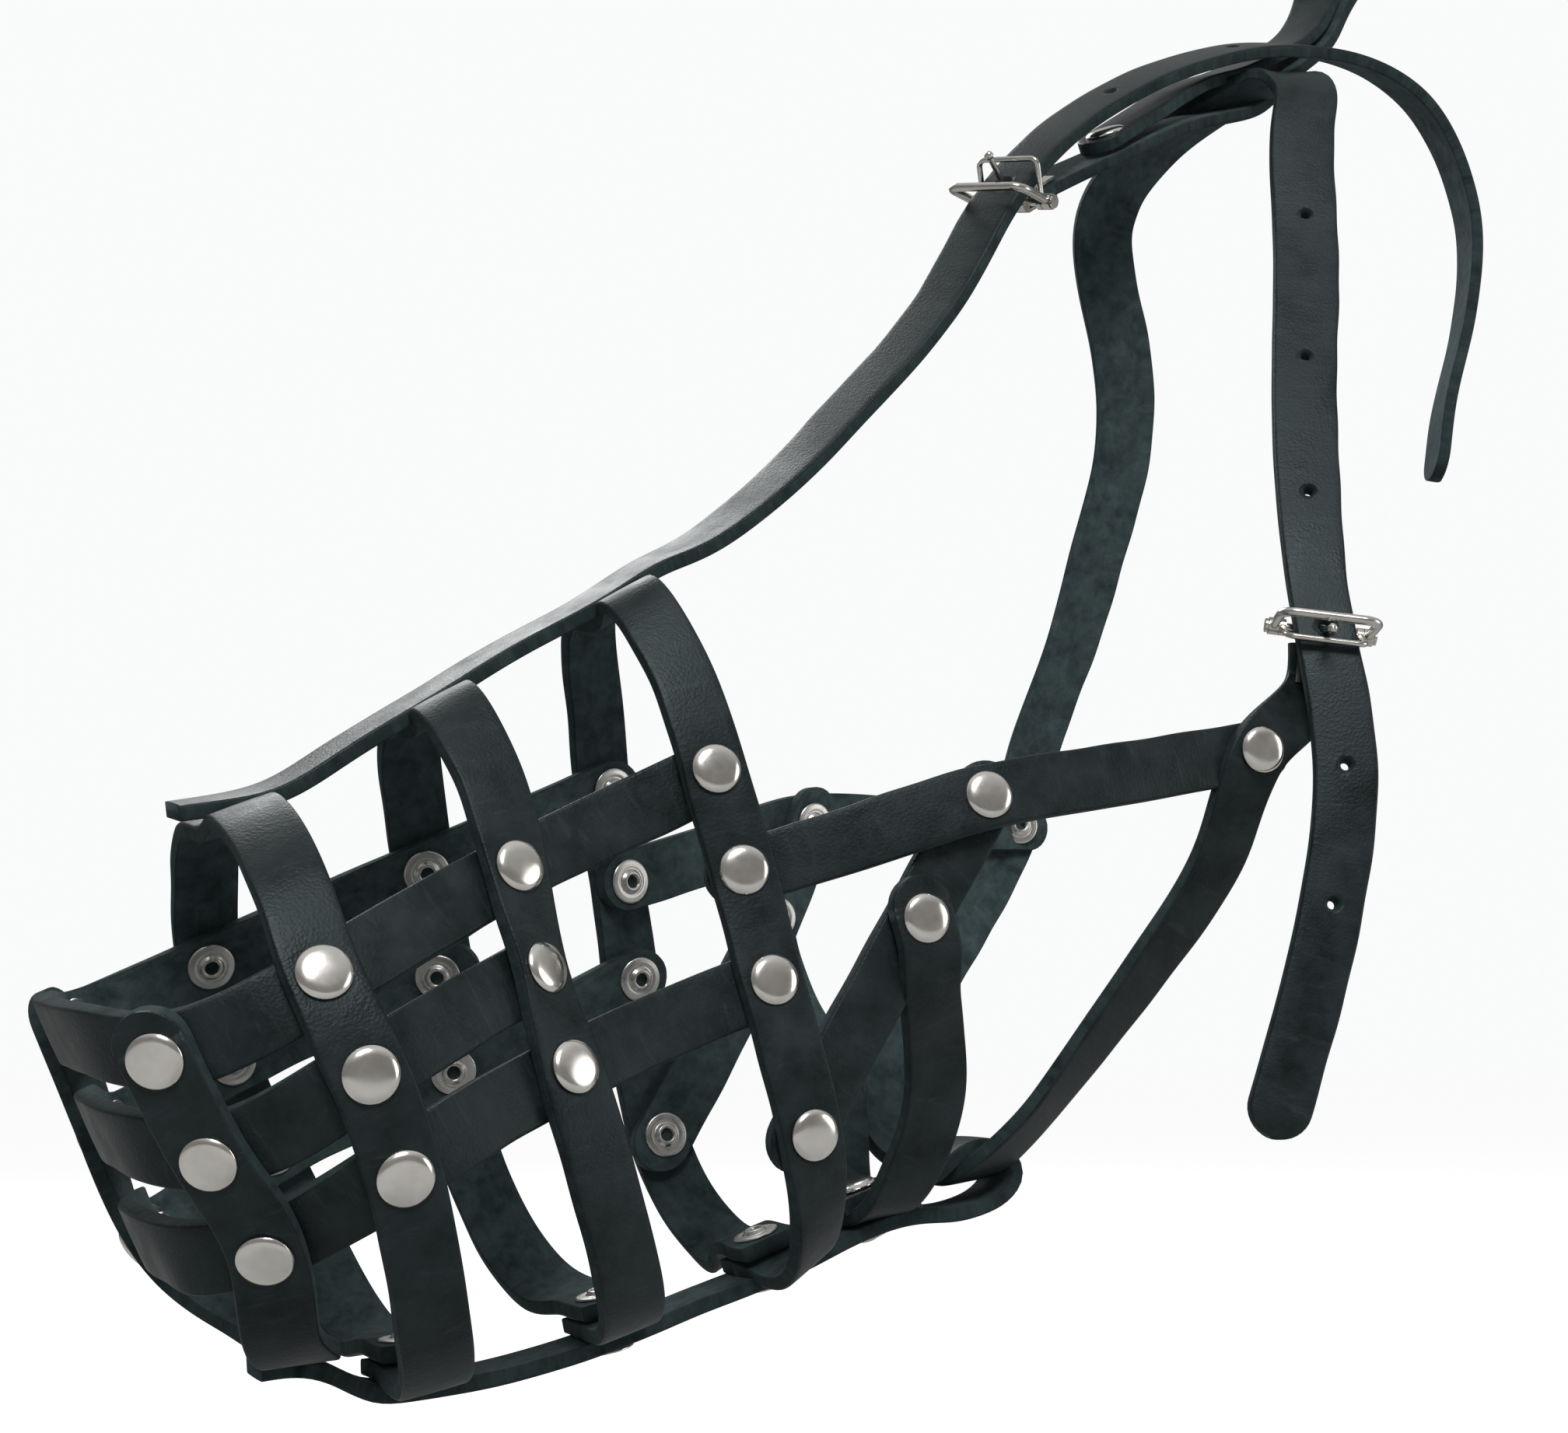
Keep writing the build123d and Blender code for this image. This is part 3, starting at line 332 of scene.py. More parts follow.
cheek_stations, diagonal_stations = {}, {}
for name, sign in (("left", -1), ("right", 1)):
    side = "-" if sign < 0 else "+"
    normal["c" + side] = unit(np.cross(over["c" + side], (-0.55, 0.02 * sign, -0.83))) * -sign
    if normal["c" + side][1] * sign < 0:
        normal["c" + side] = -normal["c" + side]
    normal["n" + side] = unit((-0.2, 0.97 * sign, -0.05)) if sign < 0 else unit((0.2, 0.97, -0.05))
    c3, cc, cn = (crossing(k, sign) for k in ("h3c", "c", "n"))
    n3, nc, nn = (normal[k + side] for k in ("h3c", "c", "n"))
    st = [(c3 - n3 * pitch / 2 - over["h3c" + side] * 6.6, n3), (c3 - n3 * pitch / 2, n3)]
    st += [((c3 + cc) / 2 + np.array((0, 1.0 * sign, 0)), n3 + nc), (cc + nc * pitch / 2, nc)]
    st += [((cc + cn) / 2 + nc * 0.4, nc + nn), (cn - nn * pitch / 2, nn),
           (cn - nn * pitch / 2 + over["n" + side] * end_reach, nn)]
    cheek_stations[name] = st
    d3, dj = crossing("h3d", sign), crossing("j", sign)
    nd = normal["h3d" + side]
    normal["j" + side] = nj = unit(nd + nc)
    st = [(d3 - nd * pitch / 2 - over["h3d" + side] * 8.0, nd), (d3 - nd * pitch / 2, nd),
          (dj - nj * pitch / 2, nj)]
    st += [(cc - nc * pitch / 2, nc), (cc - nc * pitch / 2 + over["cd" + side] * end_reach, nc)]
    diagonal_stations[name] = st

jowl_lift = 0.35          # extra air under the jowl strap's ends, which lie askew on the diagonals
# Jowl strap: one strap from the left diagonal, under the throat between the chin strap's layers,
# to the right one.
jowl = []
for sign in (-1, 1):
    side = "-" if sign < 0 else "+"
    p, n = crossing("j", sign), normal["j" + side]
    top, knee = p + n * (pitch / 2 + jowl_lift), np.array(
        (140.3 + 2.2 * sign, 35.5 * sign, 28.6 + 0.6 * sign))
    down = unit(knee - top - np.dot(knee - top, n) * n)
    leg = [(top, n), (top + down * 5.0, n), (knee, (-0.05, 0.97 * sign, -0.2)),
           ((144.9, 25.4 * sign, 16.8), (0.0, 0.9 * sign, -0.4)),
           ((147.0, 20.3 * sign, 4.5), (0.0, 0.88 * sign, -0.45)),
           ((145.2, 15.2 * sign, -6.5), (0.0, 0.8 * sign, -0.55)),
           ((142.8, 9.0 * sign, -14.4), (0.1, 0.35 * sign, -0.9))]
    leg.insert(0, (top - down * end_reach, n))
    jowl.append(leg)
jowl_stations = {"jowl": jowl[0] + [((141.5, 0, -15.75), (0.33, 0, -0.95))] + jowl[1][::-1]}

# Neck strap: from the left buckle down through the throat loop, up the right side, over the crown,
# down the left side through the buckle to its hanging tail.
nl, nr = normal["n-"], normal["n+"]
nb, nx, _, nn_ = neck_buckle
neck = [(nb + nx * 2.4, nn_), (nb + nx * 12.5, nn_), (crossing("n", -1) + nl * pitch / 2, nl),
        ((207.6, -39.6, 60.4), (0.0, -0.9, -0.35)), ((200.1, -29.7, 40.4), (0.1, -0.82, -0.5)),
        ((188.6, -21.3, 21.8), (0.2, -0.74, -0.6)), ((178.4, -14.1, 5.7), (0.2, -0.6, -0.75)),
        ((169.4, -8.0, -5.4), (0.1, -0.4, -0.9)), ((166.6, 0.0, -9.2), (0.12, 0.0, -0.99)),
        ((163.8, 8.0, -7.4), (0.1, 0.35, -0.9)), ((160.0, 18.5, -2.5), (0.0, 0.7, -0.6)),
        ((163.0, 26.0, 9.6), (0.1, 0.95, -0.3)), ((177.5, 33.4, 31.4), (0.2, 0.93, -0.2)),
        (crossing("n", 1) + nr * pitch / 2, nr), ((217.3, 46.5, 91.8), (0.35, 0.93, 0.0)),
        ((226.3, 42.5, 117.8), (0.5, 0.86, 0.0)), ((233.3, 39.0, 144.0), (0.5, 0.86, 0.0)),
        ((238.3, 35.8, 164.7), (0.5, 0.86, 0.05)), ((238.2, 32.8, 180.9), (0.5, 0.86, 0.1)),
        ((234.6, 30.4, 198.8), (0.45, 0.86, 0.15)), ((229.5, 27.0, 228.0), (0.25, 0.85, 0.35)),
        ((240.0, 20.0, 245.5), (-0.1, 0.6, 0.8)), ((252.0, 9.0, 255.4), (-0.15, 0.3, 0.93)),
        ((260.5, -2.5, 259.4), (-0.1, -0.1, 1.0)), ((262.6, -10.5, 255.4), (-0.35, -0.7, 0.6)),
        ((258.6, -15.4, 242.0), (-0.45, -0.87, 0.2)), ((252.0, -22.0, 213.4), (-0.5, -0.85, 0.1)),
        ((240.4, -33.0, 172.8), (-0.5, -0.86, 0.1)), ((230.8, -43.0, 137.2), (-0.5, -0.86, 0.1)),
        ((225.8, -52.0, 105.1), (-0.5, -0.86, 0.0)), ((224.8, -57.5, 74.7), (-0.5, -0.86, -0.05)),
        ((219.6, -57.5, 45.9), (-0.45, -0.88, -0.1)), ((204.8, -54.0, -0.5), (-0.45, -0.88, -0.1))]
neck_stations = {"neck": neck}


# ---------------------------------------------------------------- rivets
# Each is (point between the two straps, outward normal, straps outside that point, straps inside it).
def one(name, side):
    key = name + ("-" if side < 0 else "+")
    return (crossing(name, side), normal[key], 1, 1)


RIVETS = {
    "front_strap": [one(k, s) for k in ("f1", "f2", "f3") for s in (-1, 1)],
    "front_hoop": [one(k, s) for k in ("h1u", "h1m", "h1l") for s in (-1, 1)],
    "middle_hoop": [one(k, s) for k in ("h2u", "h2m", "h2l") for s in (-1, 1)],
    "rear_hoop": [one(k, s) for k in ("h3u", "h3c", "h3l", "h3d") for s in (-1, 1)],
    "cheek": [one(k, s) for k in ("c", "n") for s in (-1, 1)]
             + [(crossing("j", s), normal["j" + ("-" if s < 0 else "+")], 1 + jowl_lift / pitch, 1)
                for s in (-1, 1)],
}
bottom_rivets = [(np.array(BOTTOM[h]), np.cross((0, 1, 0), unit(bottom_slope[h])), 1, 2) for h in HOOP]
crown_rivet = ((211.4, 0.0, 232.1), unit((-0.46, -0.29, 0.84)), 1, 1)
throat_at = {"fore": (141.5, 0.0, -15.75), "aft": (154.5, 0.0, -13.2)}

# ---------------------------------------------------------------- materials
def nodes_of(name):
    m = bpy.data.materials.new(name)
    m.use_nodes = True
    return m, m.node_tree.nodes, m.node_tree.links, m.node_tree.nodes["Principled BSDF"]


def add(nodes, kind, **values):
    n = nodes.new(kind)
    for k, v in values.items():
        if k in n.inputs:
            n.inputs[k].default_value = v
        else:
            setattr(n, k, v)
    return n


def ramp(nodes, links, source, low, high, at=(0.3, 0.7)):
    r = nodes.new("ShaderNodeValToRGB")
    r.color_ramp.elements[0].position, r.color_ramp.elements[1].position = at
    r.color_ramp.elements[0].color, r.color_ramp.elements[1].color = (*low, 1), (*high, 1)
    links.new(source, r.inputs[0])
    return r.outputs[0]


def stretched(nodes, links, scale):
    """Coordinates along (x) and across (y) the strap, in metres, scaled."""
    uv = nodes.new("ShaderNodeUVMap")
    uv.uv_map = "strap"
    m = nodes.new("ShaderNodeMapping")
    m.inputs["Scale"].default_value = scale
    links.new(uv.outputs[0], m.inputs[0])
    return m.outputs[0]


def bump(nodes, links, height, depth, strength, under=None):
    b = add(nodes, "ShaderNodeBump", Strength=strength, Distance=depth)
    links.new(height, b.inputs["Height"])
    if under is not None:
        links.new(under, b.inputs["Normal"])
    return b.outputs[0]


def leather_grain():
    m, n, l, p = nodes_of("leather_grain")
    pos = n.new("ShaderNodeTexCoord").outputs["Object"]
    patch = add(n, "ShaderNodeTexNoise", Scale=95.0, Detail=6.0, Roughness=0.62)
    pores = add(n, "ShaderNodeTexVoronoi", Scale=1700.0, feature="SMOOTH_F1", Smoothness=0.35)
    fine = add(n, "ShaderNodeTexNoise", Scale=900.0, Detail=5.0, Roughness=0.6)
    crease = add(n, "ShaderNodeTexNoise", Scale=1.0, Detail=5.0, Roughness=0.68, Distortion=0.9)
    for t in (patch, pores, fine):
        l.new(pos, t.inputs["Vector"])
    l.new(stretched(n, l, (520, 90, 1)), crease.inputs["Vector"])
    dark = ramp(n, l, patch.outputs["Fac"], GRAIN_DARK, GRAIN_LIGHT, (0.32, 0.72))
    worn = add(n, "ShaderNodeMix", data_type="RGBA", blend_type="MIX")
    worn.inputs[7].default_value = (*GRAIN_WORN, 1)
    l.new(dark, worn.inputs[6])
    l.new(ramp(n, l, crease.outputs["Fac"], (0, 0, 0), (0.55, 0.55, 0.55), (0.56, 0.78)), worn.inputs[0])
    l.new(worn.outputs[2], p.inputs["Base Color"])
    l.new(ramp(n, l, patch.outputs["Fac"], (0.36,) * 3, (0.54,) * 3, (0.3, 0.7)), p.inputs["Roughness"])
    s = bump(n, l, crease.outputs["Fac"], 0.00026, 0.22)
    s = bump(n, l, pores.outputs["Distance"], 0.00014, 0.34, s)
    s = bump(n, l, fine.outputs["Fac"], 0.00008, 0.22, s)
    l.new(s, p.inputs["Normal"])
    p.inputs["Specular IOR Level"].default_value = 0.24
    p.inputs["Specular Tint"].default_value = (0.80, 0.97, 1.0, 1)
    return m


def leather_raw(name, low, high, fibre, rough, depth, sheen):
    m, n, l, p = nodes_of(name)
    pos = n.new("ShaderNodeTexCoord").outputs["Object"]
    patch = add(n, "ShaderNodeTexNoise", Scale=140.0, Detail=6.0, Roughness=0.7)
    nap = add(n, "ShaderNodeTexNoise", Scale=1500.0, Detail=6.0, Roughness=0.72)
    pull = add(n, "ShaderNodeTexNoise", Scale=1.0, Detail=4.0, Roughness=0.6, Distortion=0.5)
    for t in (patch, nap):
        l.new(pos, t.inputs["Vector"])
    l.new(stretched(n, l, fibre), pull.inputs["Vector"])
    both = add(n, "ShaderNodeMix", data_type="FLOAT")
    both.inputs[0].default_value = 0.45
    l.new(patch.outputs["Fac"], both.inputs[2])
    l.new(pull.outputs["Fac"], both.inputs[3])
    l.new(ramp(n, l, both.outputs[0], low, high, (0.34, 0.68)), p.inputs["Base Color"])
    p.inputs["Roughness"].default_value = rough
    p.inputs["Sheen Weight"].default_value = sheen
    p.inputs["Sheen Roughness"].default_value = 0.45
    p.inputs["Sheen Tint"].default_value = (0.62, 0.8, 0.84, 1)
    s = bump(n, l, pull.outputs["Fac"], depth, 0.5)
    l.new(bump(n, l, nap.outputs["Fac"], depth * 0.6, 0.5, s), p.inputs["Normal"])
    p.inputs["Specular IOR Level"].default_value = 0.15
    return m


def nickel(name, colour, low, high, scratch):
    m, n, l, p = nodes_of(name)
    pos = n.new("ShaderNodeTexCoord").outputs["Object"]
    cloud = add(n, "ShaderNodeTexNoise", Scale=240.0, Detail=4.0, Roughness=0.6)
    fine = add(n, "ShaderNodeTexNoise", Scale=3200.0, Detail=3.0, Roughness=0.6)
    for t in (cloud, fine):
        l.new(pos, t.inputs["Vector"])
    l.new(ramp(n, l, cloud.outputs["Fac"], (low,) * 3, (high,) * 3, (0.3, 0.7)), p.inputs["Roughness"])
    l.new(ramp(n, l, cloud.outputs["Fac"], tuple(0.9 * c for c in colour), colour, (0.35, 0.6)),
          p.inputs["Base Color"])
    l.new(bump(n, l, fine.outputs["Fac"], 0.00004, scratch), p.inputs["Normal"])
    p.inputs["Metallic"].default_value = 1.0
    return m


GRAIN_DARK = (0.0045, 0.0066, 0.0074)
GRAIN_LIGHT = (0.0215, 0.0290, 0.0305)
GRAIN_WORN = (0.036, 0.047, 0.049)
grain = leather_grain()
flesh = leather_raw("leather_flesh", (0.0160, 0.0270, 0.0290), (0.0620, 0.0900, 0.0930), (260, 330, 1),
                    0.9, 0.00032, 0.08)
edge = leather_raw("leather_edge", (0.0090, 0.0165, 0.0175), (0.0380, 0.0580, 0.0600), (420, 60, 1), 0.85,
                   0.00022, 0.05)
cap_metal = nickel("nickel_caps", (0.84, 0.81, 0.755), 0.13, 0.22, 0.05)
back_metal = nickel("nickel_backs", (0.62, 0.605, 0.57), 0.24, 0.40, 0.20)
wire_metal = nickel("nickel_wire", (0.66, 0.635, 0.59), 0.16, 0.28, 0.05)


# ---------------------------------------------------------------- straps
def metres(p):
    return (np.asarray(p, float) - np.array(ORIGIN)) / 1000.0


def section(width, thick):
    """Outline of a cut strap: (across, up, material); grain side crowned and rubbed, flesh side crisp."""
    w, t, rg, rf = width / 2, thick / 2, 0.62, 0.3
    pts = []
    for x in np.linspace(-1, 1, 11):
        pts.append((x * (w - rg), t + 0.10 * (1 - x * x), 0))
    for a in (65, 40, 15):
        pts.append((w - rg + rg * cos(radians(a)), t - rg + rg * sin(radians(a)), 0 if a > 30 else 2))
    pts.append((w, 0.15, 2))
    pts.append((w, -t + rf + 0.25, 2))
    for a in (-10, -45, -80):
        pts.append((w - rf + rf * cos(radians(a)), -t + rf + rf * sin(radians(a)), 2 if a > -60 else 1))
    for x in np.linspace(1, -1, 9):
        pts.append((x * (w - rf - 0.1), -t, 1))
    for a in (-100, -135, -170):
        pts.append((-w + rf + rf * cos(radians(a)), -t + rf + rf * sin(radians(a)), 1 if a > -120 else 2))
    pts.append((-w, -t + rf + 0.25, 2))
    pts.append((-w, 0.15, 2))
    for a in (165, 140, 115):
        pts.append((-w + rg + rg * cos(radians(a)), t - rg + rg * sin(radians(a)), 2 if a > 150 else 0))
    return pts


def resample(frames, step):
    """Evenly spaced frames down the strap, with extra ones close to its ends."""
    p = np.array([f[0] for f in frames])
    s = np.concatenate([[0], np.cumsum(np.linalg.norm(np.diff(p, axis=0), axis=1))])
    total = s[-1]
    r = strap_width / 2
    tail = r * (1 - np.cos(np.linspace(0.06, pi / 2, 9)))
    d = np.unique(np.concatenate([tail, np.linspace(r, total - r, max(2, int((total - 2 * r) / step))),
                                  total - tail]))
    both = np.array([np.concatenate([f[0], f[1], f[3]]) for f in frames])
    out = np.array([np.interp(d, s, both[:, k]) for k in range(9)]).T
    rows = []
    for row in out:
        along = unit(row[3:6])
        up = unit(row[6:9] - np.dot(row[6:9], along) * along)
        rows.append((row[:3], along, np.cross(up, along), up))
    return d, total, rows


def strap_object(name, stations, nodes, rounded=(True, True), holes=(), presses=(), seed=0.0, width=None):
    """One strap's leather: its section swept along the stations, a little uneven, with round ends,
    dents (place, depth) where rivets press on it, and punched holes (place, outward, radius)."""
    step, dent_reach, dent_r = 1.5, 9.0, 5.0
    d, total, rows = resample(strap_frames(stations, step), step)
    prof = section(strap_width, leather)
    k = len(prof)
    r = strap_width / 2
    verts, uvs = [], []
    press = [(np.asarray(p, float), depth) for p, depth in presses]
    for s, (p, along, across, up) in zip(d, rows):
        w = 1.0
        wide = width(p) / strap_width if width else 1.0
        for end, on in ((s, rounded[0]), (total - s, rounded[1])):
            if on and end < r:
                w = min(w, max(0.12, (1 - (1 - end / r) ** 2) ** 0.5))
        sway = 0.14 * sin(s * 0.11 + seed) + 0.08 * sin(s * 0.37 + 2 * seed)
        swell = wide * (1 + 0.014 * sin(s * 0.071 + seed * 3))
        lift = 0.07 * sin(s * 0.19 + seed * 5)
        for a, u, side in prof:
            q = p + across * (a * w * swell + sway * (0.6 + 0.4 * np.sign(a))) + up * (u + lift)
            for c, depth in press:
                gap = np.linalg.norm(q - c - up * np.dot(q - c, up))
                if gap < dent_reach and abs(np.dot(q - c, up)) < 6:
                    q = q - up * np.sign(u) * depth * np.exp(-((gap / dent_r) ** 4))
            verts.append(metres(q))
            uvs.append((s / 1000.0, (a if abs(a) < r - 0.4 else a + u) / 1000.0 + seed * 0.013))
    faces, mats = [], []
    for i in range(len(rows) - 1):
        for j in range(k):
            j2 = (j + 1) % k
            faces.append((i * k + j, i * k + j2, (i + 1) * k + j2, (i + 1) * k + j))
            kinds = {prof[j][2], prof[j2][2]}
            mats.append(kinds.pop() if len(kinds) == 1 else (2 if 2 in kinds and 1 in kinds else 0))
    last = (len(rows) - 1) * k
    faces += [tuple(range(k - 1, -1, -1)), tuple(range(last, last + k))]
    mats += [2, 2]
    mesh = bpy.data.meshes.new(name)
    mesh.from_pydata([tuple(v) for v in verts], [], faces)
    layer = mesh.uv_layers.new(name="strap")
    loops = np.zeros(len(mesh.loops), np.int32)
    mesh.loops.foreach_get("vertex_index", loops)
    layer.data.foreach_set("uv", np.array(uvs, np.float32)[loops].ravel())
    for m in (grain, flesh, edge):
        mesh.materials.append(m)
    mesh.polygons.foreach_set("material_index", mats)
    mesh.polygons.foreach_set("use_smooth", [True] * len(faces))
    mesh.update()
    obj = bpy.data.objects.new(name, mesh)
    bpy.context.scene.collection.objects.link(obj)
    if holes:
        punch(obj, holes)
    bm = bmesh.new()
    bm.from_mesh(obj.data)
    bmesh.ops.recalc_face_normals(bm, faces=bm.faces)
    bm.to_mesh(obj.data)
    bm.free()
    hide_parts(*nodes)
    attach(obj, "muzzle")
    return obj


def punch(obj, holes):
    """Round punched holes, a little torn open at the grain side."""
    bm, steps = bmesh.new(), 28
    for p, n, r in holes:
        q = Vector((0, 0, 1)).rotation_difference(Vector(tuple(n)))
        turn = Matrix.Translation(Vector(tuple(metres(p)))) @ q.to_matrix().to_4x4()
        rings = []
        for z, rr in ((-6, r * 0.72), (0.2, r * 0.72), (0.9, r * 0.9), (1.25, r * 1.06), (1.62, r * 1.3),
                      (3.0, r * 1.5), (6, r * 1.5)):
            rings.append([bm.verts.new(turn @ Vector((rr * cos(a) / 1000, rr * sin(a) / 1000, z / 1000)))
                          for a in np.linspace(0, 2 * pi, steps, endpoint=False)])
        for a, b in zip(rings, rings[1:]):
            for i in range(steps):
                bm.faces.new((a[i], a[(i + 1) % steps], b[(i + 1) % steps], b[i]))
        bm.faces.new(rings[0][::-1]), bm.faces.new(rings[-1])
    mesh = bpy.data.meshes.new("punch")
    bm.to_mesh(mesh)
    bm.free()
    mesh.materials.append(edge)
    tool = bpy.data.objects.new("punch", mesh)
    bpy.context.scene.collection.objects.link(tool)
    mod = obj.modifiers.new("punch", "BOOLEAN")
    mod.operation, mod.solver, mod.object = "DIFFERENCE", "EXACT", tool
    mod.material_mode = "TRANSFER"
    bpy.context.view_layer.update()
    cut = bpy.data.meshes.new_from_object(obj.evaluated_get(bpy.context.evaluated_depsgraph_get()))
    obj.modifiers.clear()
    old, obj.data = obj.data, cut
    bpy.data.meshes.remove(old)
    bpy.data.objects.remove(tool)


def on(keys, sides=(-1, 1)):
    """The crossings of these names on the given sides."""
    return [crossing(k, s) for k in keys for s in sides]


def spot(stations, near):
    """The place on a strap nearest to a point, and its outward side."""
    f = min(strap_frames(stations, 2.0), key=lambda g: np.linalg.norm(g[0] - np.array(near)))
    return f[0], f[3]


dip = 0.22                # how far a set rivet presses into the leather
for i, (b, label) in enumerate((("u", "upper"), ("m", "middle"), ("l", "lower"))):
    strap_object(f"nose_band_{label}_leather", band_stations[b], [f"nose_band_{label}"],
                 presses=[(p, dip) for p in on(BAND[b])], seed=0.3 + i)
strap_object("front_strap_leather", front_stations["front"], ["front_strap"],
             presses=[(p, dip) for p in on(("f1", "f2", "f3"))], seed=3.1)
for i, (h, label) in enumerate((("h1", "front"), ("h2", "middle"), ("h3", "rear"))):
    strap_object(f"hoop_{label}_leather", hoop_stations[h], [f"hoop_{label}"], (False, False),
                 presses=[(p, dip) for p in on(HOOP[h])], seed=4.2 + i)
line = forehead_stations["forehead"]
# the hole that a buckle's prong sits in, the free holes and the two free ones at the neck strap's end
pin_hole_r, punch_r, far_punch_r = 1.9, 1.35, 1.3
punches = [((212.7, 0, 245.3), punch_r), ((250.5, 0, 265.6), punch_r)]
holes = [(*spot(line, q), r) for q, r in [(forehead_hole, pin_hole_r)] + punches]
strap_object("forehead_strap_leather", line, ["forehead_strap"], (False, True), holes, seed=7.7)
strap_object("chin_strap_leather", chin_stations["chin"], ["chin_strap"], (False, False),
             presses=[(p, 0.1) for p, _, _, _ in bottom_rivets], seed=8.4)
for i, (label, side) in enumerate((("left", -1), ("right", 1))):
    strap_object(f"cheek_strap_{label}_leather", cheek_stations[label], [f"cheek_strap_{label}"],
                 presses=[(p, dip) for p in on(("h3c", "c", "n"), (side,))], seed=9.6 + i)
    strap_object(f"diagonal_strap_{label}_leather", diagonal_stations[label], [f"diagonal_strap_{label}"],
                 presses=[(p, dip) for p in on(("h3d", "j", "c"), (side,))], seed=11.2 + i)
strap_object("jowl_strap_leather", jowl_stations["jowl"], ["jowl_strap"],
             presses=[(p, dip) for p in on(("j",))], seed=13.9)
line = neck_stations["neck"]
punches = [((252.0, -22.0, 213.4), punch_r), ((240.4, -33.0, 172.8), punch_r),
           ((230.8, -43.0, 137.2), punch_r), ((224.8, -57.5, 74.7), far_punch_r),
           ((219.6, -57.5, 45.9), far_punch_r)]
holes = [(*spot(line, q), r) for q, r in [(neck_hole, pin_hole_r)] + punches]
strap_object("neck_strap_leather", line, ["neck_strap"], (False, True), holes,
             presses=[(p, dip) for p in on(("n",))], seed=15.5, width=width_along)
strap_object("crown_loop_leather", crown_stations["crown"], ["crown_loop_strap"], (False, True),
             presses=[(crown_rivet[0], dip)], seed=17.3)


# ---------------------------------------------------------------- rivets
def lathe(bm, outline, turn, steps=40, material=0):
    """Surface of revolution: outline is (radius, height) in mm, from the axis out and round."""
    rings = []
    for r, z in outline:
        if r < 1e-6:
            rings.append([bm.verts.new(turn @ Vector((0, 0, z / 1000)))])
        else:
            rings.append([bm.verts.new(turn @ Vector((r * cos(a) / 1000, r * sin(a) / 1000, z / 1000)))
                          for a in np.linspace(0, 2 * pi, steps, endpoint=False)])
    for a, b in zip(rings, rings[1:]):
        for i in range(steps):
            j = (i + 1) % steps
            loop = [a[i % len(a)], a[j % len(a)], b[j % len(b)], b[i % len(b)]]
            loop = [v for k, v in enumerate(loop) if v not in loop[:k]]
            f = bm.faces.new(loop)
            f.smooth, f.material_index = True, material


def frame_at(p, n):
    """A turn in metres whose z is the outward side n at the place p."""
    q = Vector((0, 0, 1)).rotation_difference(Vector(tuple(n)))
    return Matrix.Translation(Vector(tuple(metres(p)))) @ q.to_matrix().to_4x4()


def rivets(area, items, h=rivet_cap_h, names=None):
    """Caps and backs of one area's rivets: each item is place, outward, strap layers outside and inside."""
    caps, backs = bmesh.new(), bmesh.new()
    for p, n, outside, inside in items:
        turn = frame_at(p, n)
        top = leather / 2 + pitch * (outside - 0.5) - 0.05
        low = -(leather / 2 + pitch * (inside - 0.5)) + 0.02
        R, H, rim = rivet_cap_r, 0.72 * h, 0.45     # the dome is a little flatter than the CAD's
        dome = [(0, top + H)]
        for x in (0.12, 0.25, 0.4, 0.55, 0.68, 0.8, 0.88, 0.94, 0.98, 1.0):
            dome.append((R * x, top + H - (H - rim) * (0.42 * x ** 2.2 + 0.58 * x ** 9)))
        dome += [(R + 0.02, top + 0.25), (R - 0.06, top + 0.02), (R - 0.4, top - 0.06), (0, top - 0.06)]
        lathe(caps, dome, turn)
        w, t = washer_r, washer_h
        ring = [(rivet_post_r + 0.9, low), (w - 0.15, low), (w, low - 0.18), (w - 0.05, low - 0.42),
                (w - 0.45, low - 0.55), (w - 0.9, low - 0.50), (w - 1.25, low - 0.66),
                (w - 1.6, low - 0.52), (w - 1.95, low - 0.50),
                (rivet_post_r + 0.55, low - 0.66), (rivet_post_r + 0.25, low - 1.15),
                (rivet_post_r - 0.1, low - 1.36), (rivet_post_r - 0.45, low - 1.22),
                (rivet_post_r - 0.6, low - 0.7), (rivet_post_r - 0.62, low + 1.8), (0, low + 1.9)]
        lathe(backs, ring, turn)
    names = names or (f"{area}_rivet_caps", f"{area}_rivet_backs")
    for bm, name, metal in ((caps, names[0], cap_metal), (backs, names[1], back_metal)):
        bmesh.ops.recalc_face_normals(bm, faces=bm.faces)
        mesh = bpy.data.meshes.new(name + "_set")
        bm.to_mesh(mesh)
        bm.free()
        mesh.materials.append(metal)
        obj = bpy.data.objects.new(name + "_set", mesh)
        bpy.context.scene.collection.objects.link(obj)
        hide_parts(name)
        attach(obj, "muzzle")


for area, items in RIVETS.items():
    rivets(area, items)
rivets("chin", bottom_rivets, 0.9)
throat_n = {"fore": unit((0.33, 0, -0.95)), "aft": unit((0.15, 0, -1))}
rivets("throat", [(throat_at["fore"], -throat_n["fore"], 1.5, 1.5),
                  (throat_at["aft"], -throat_n["aft"], 1, 1)])

rivets("crown", [crown_rivet], names=("crown_rivet_cap", "crown_rivet_back"))

# ---------------------------------------------------------------- buckles keep their CAD shape
for name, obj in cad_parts.items():
    if "buckle" in name:
        obj.data.materials.clear()
        obj.data.materials.append(wire_metal)


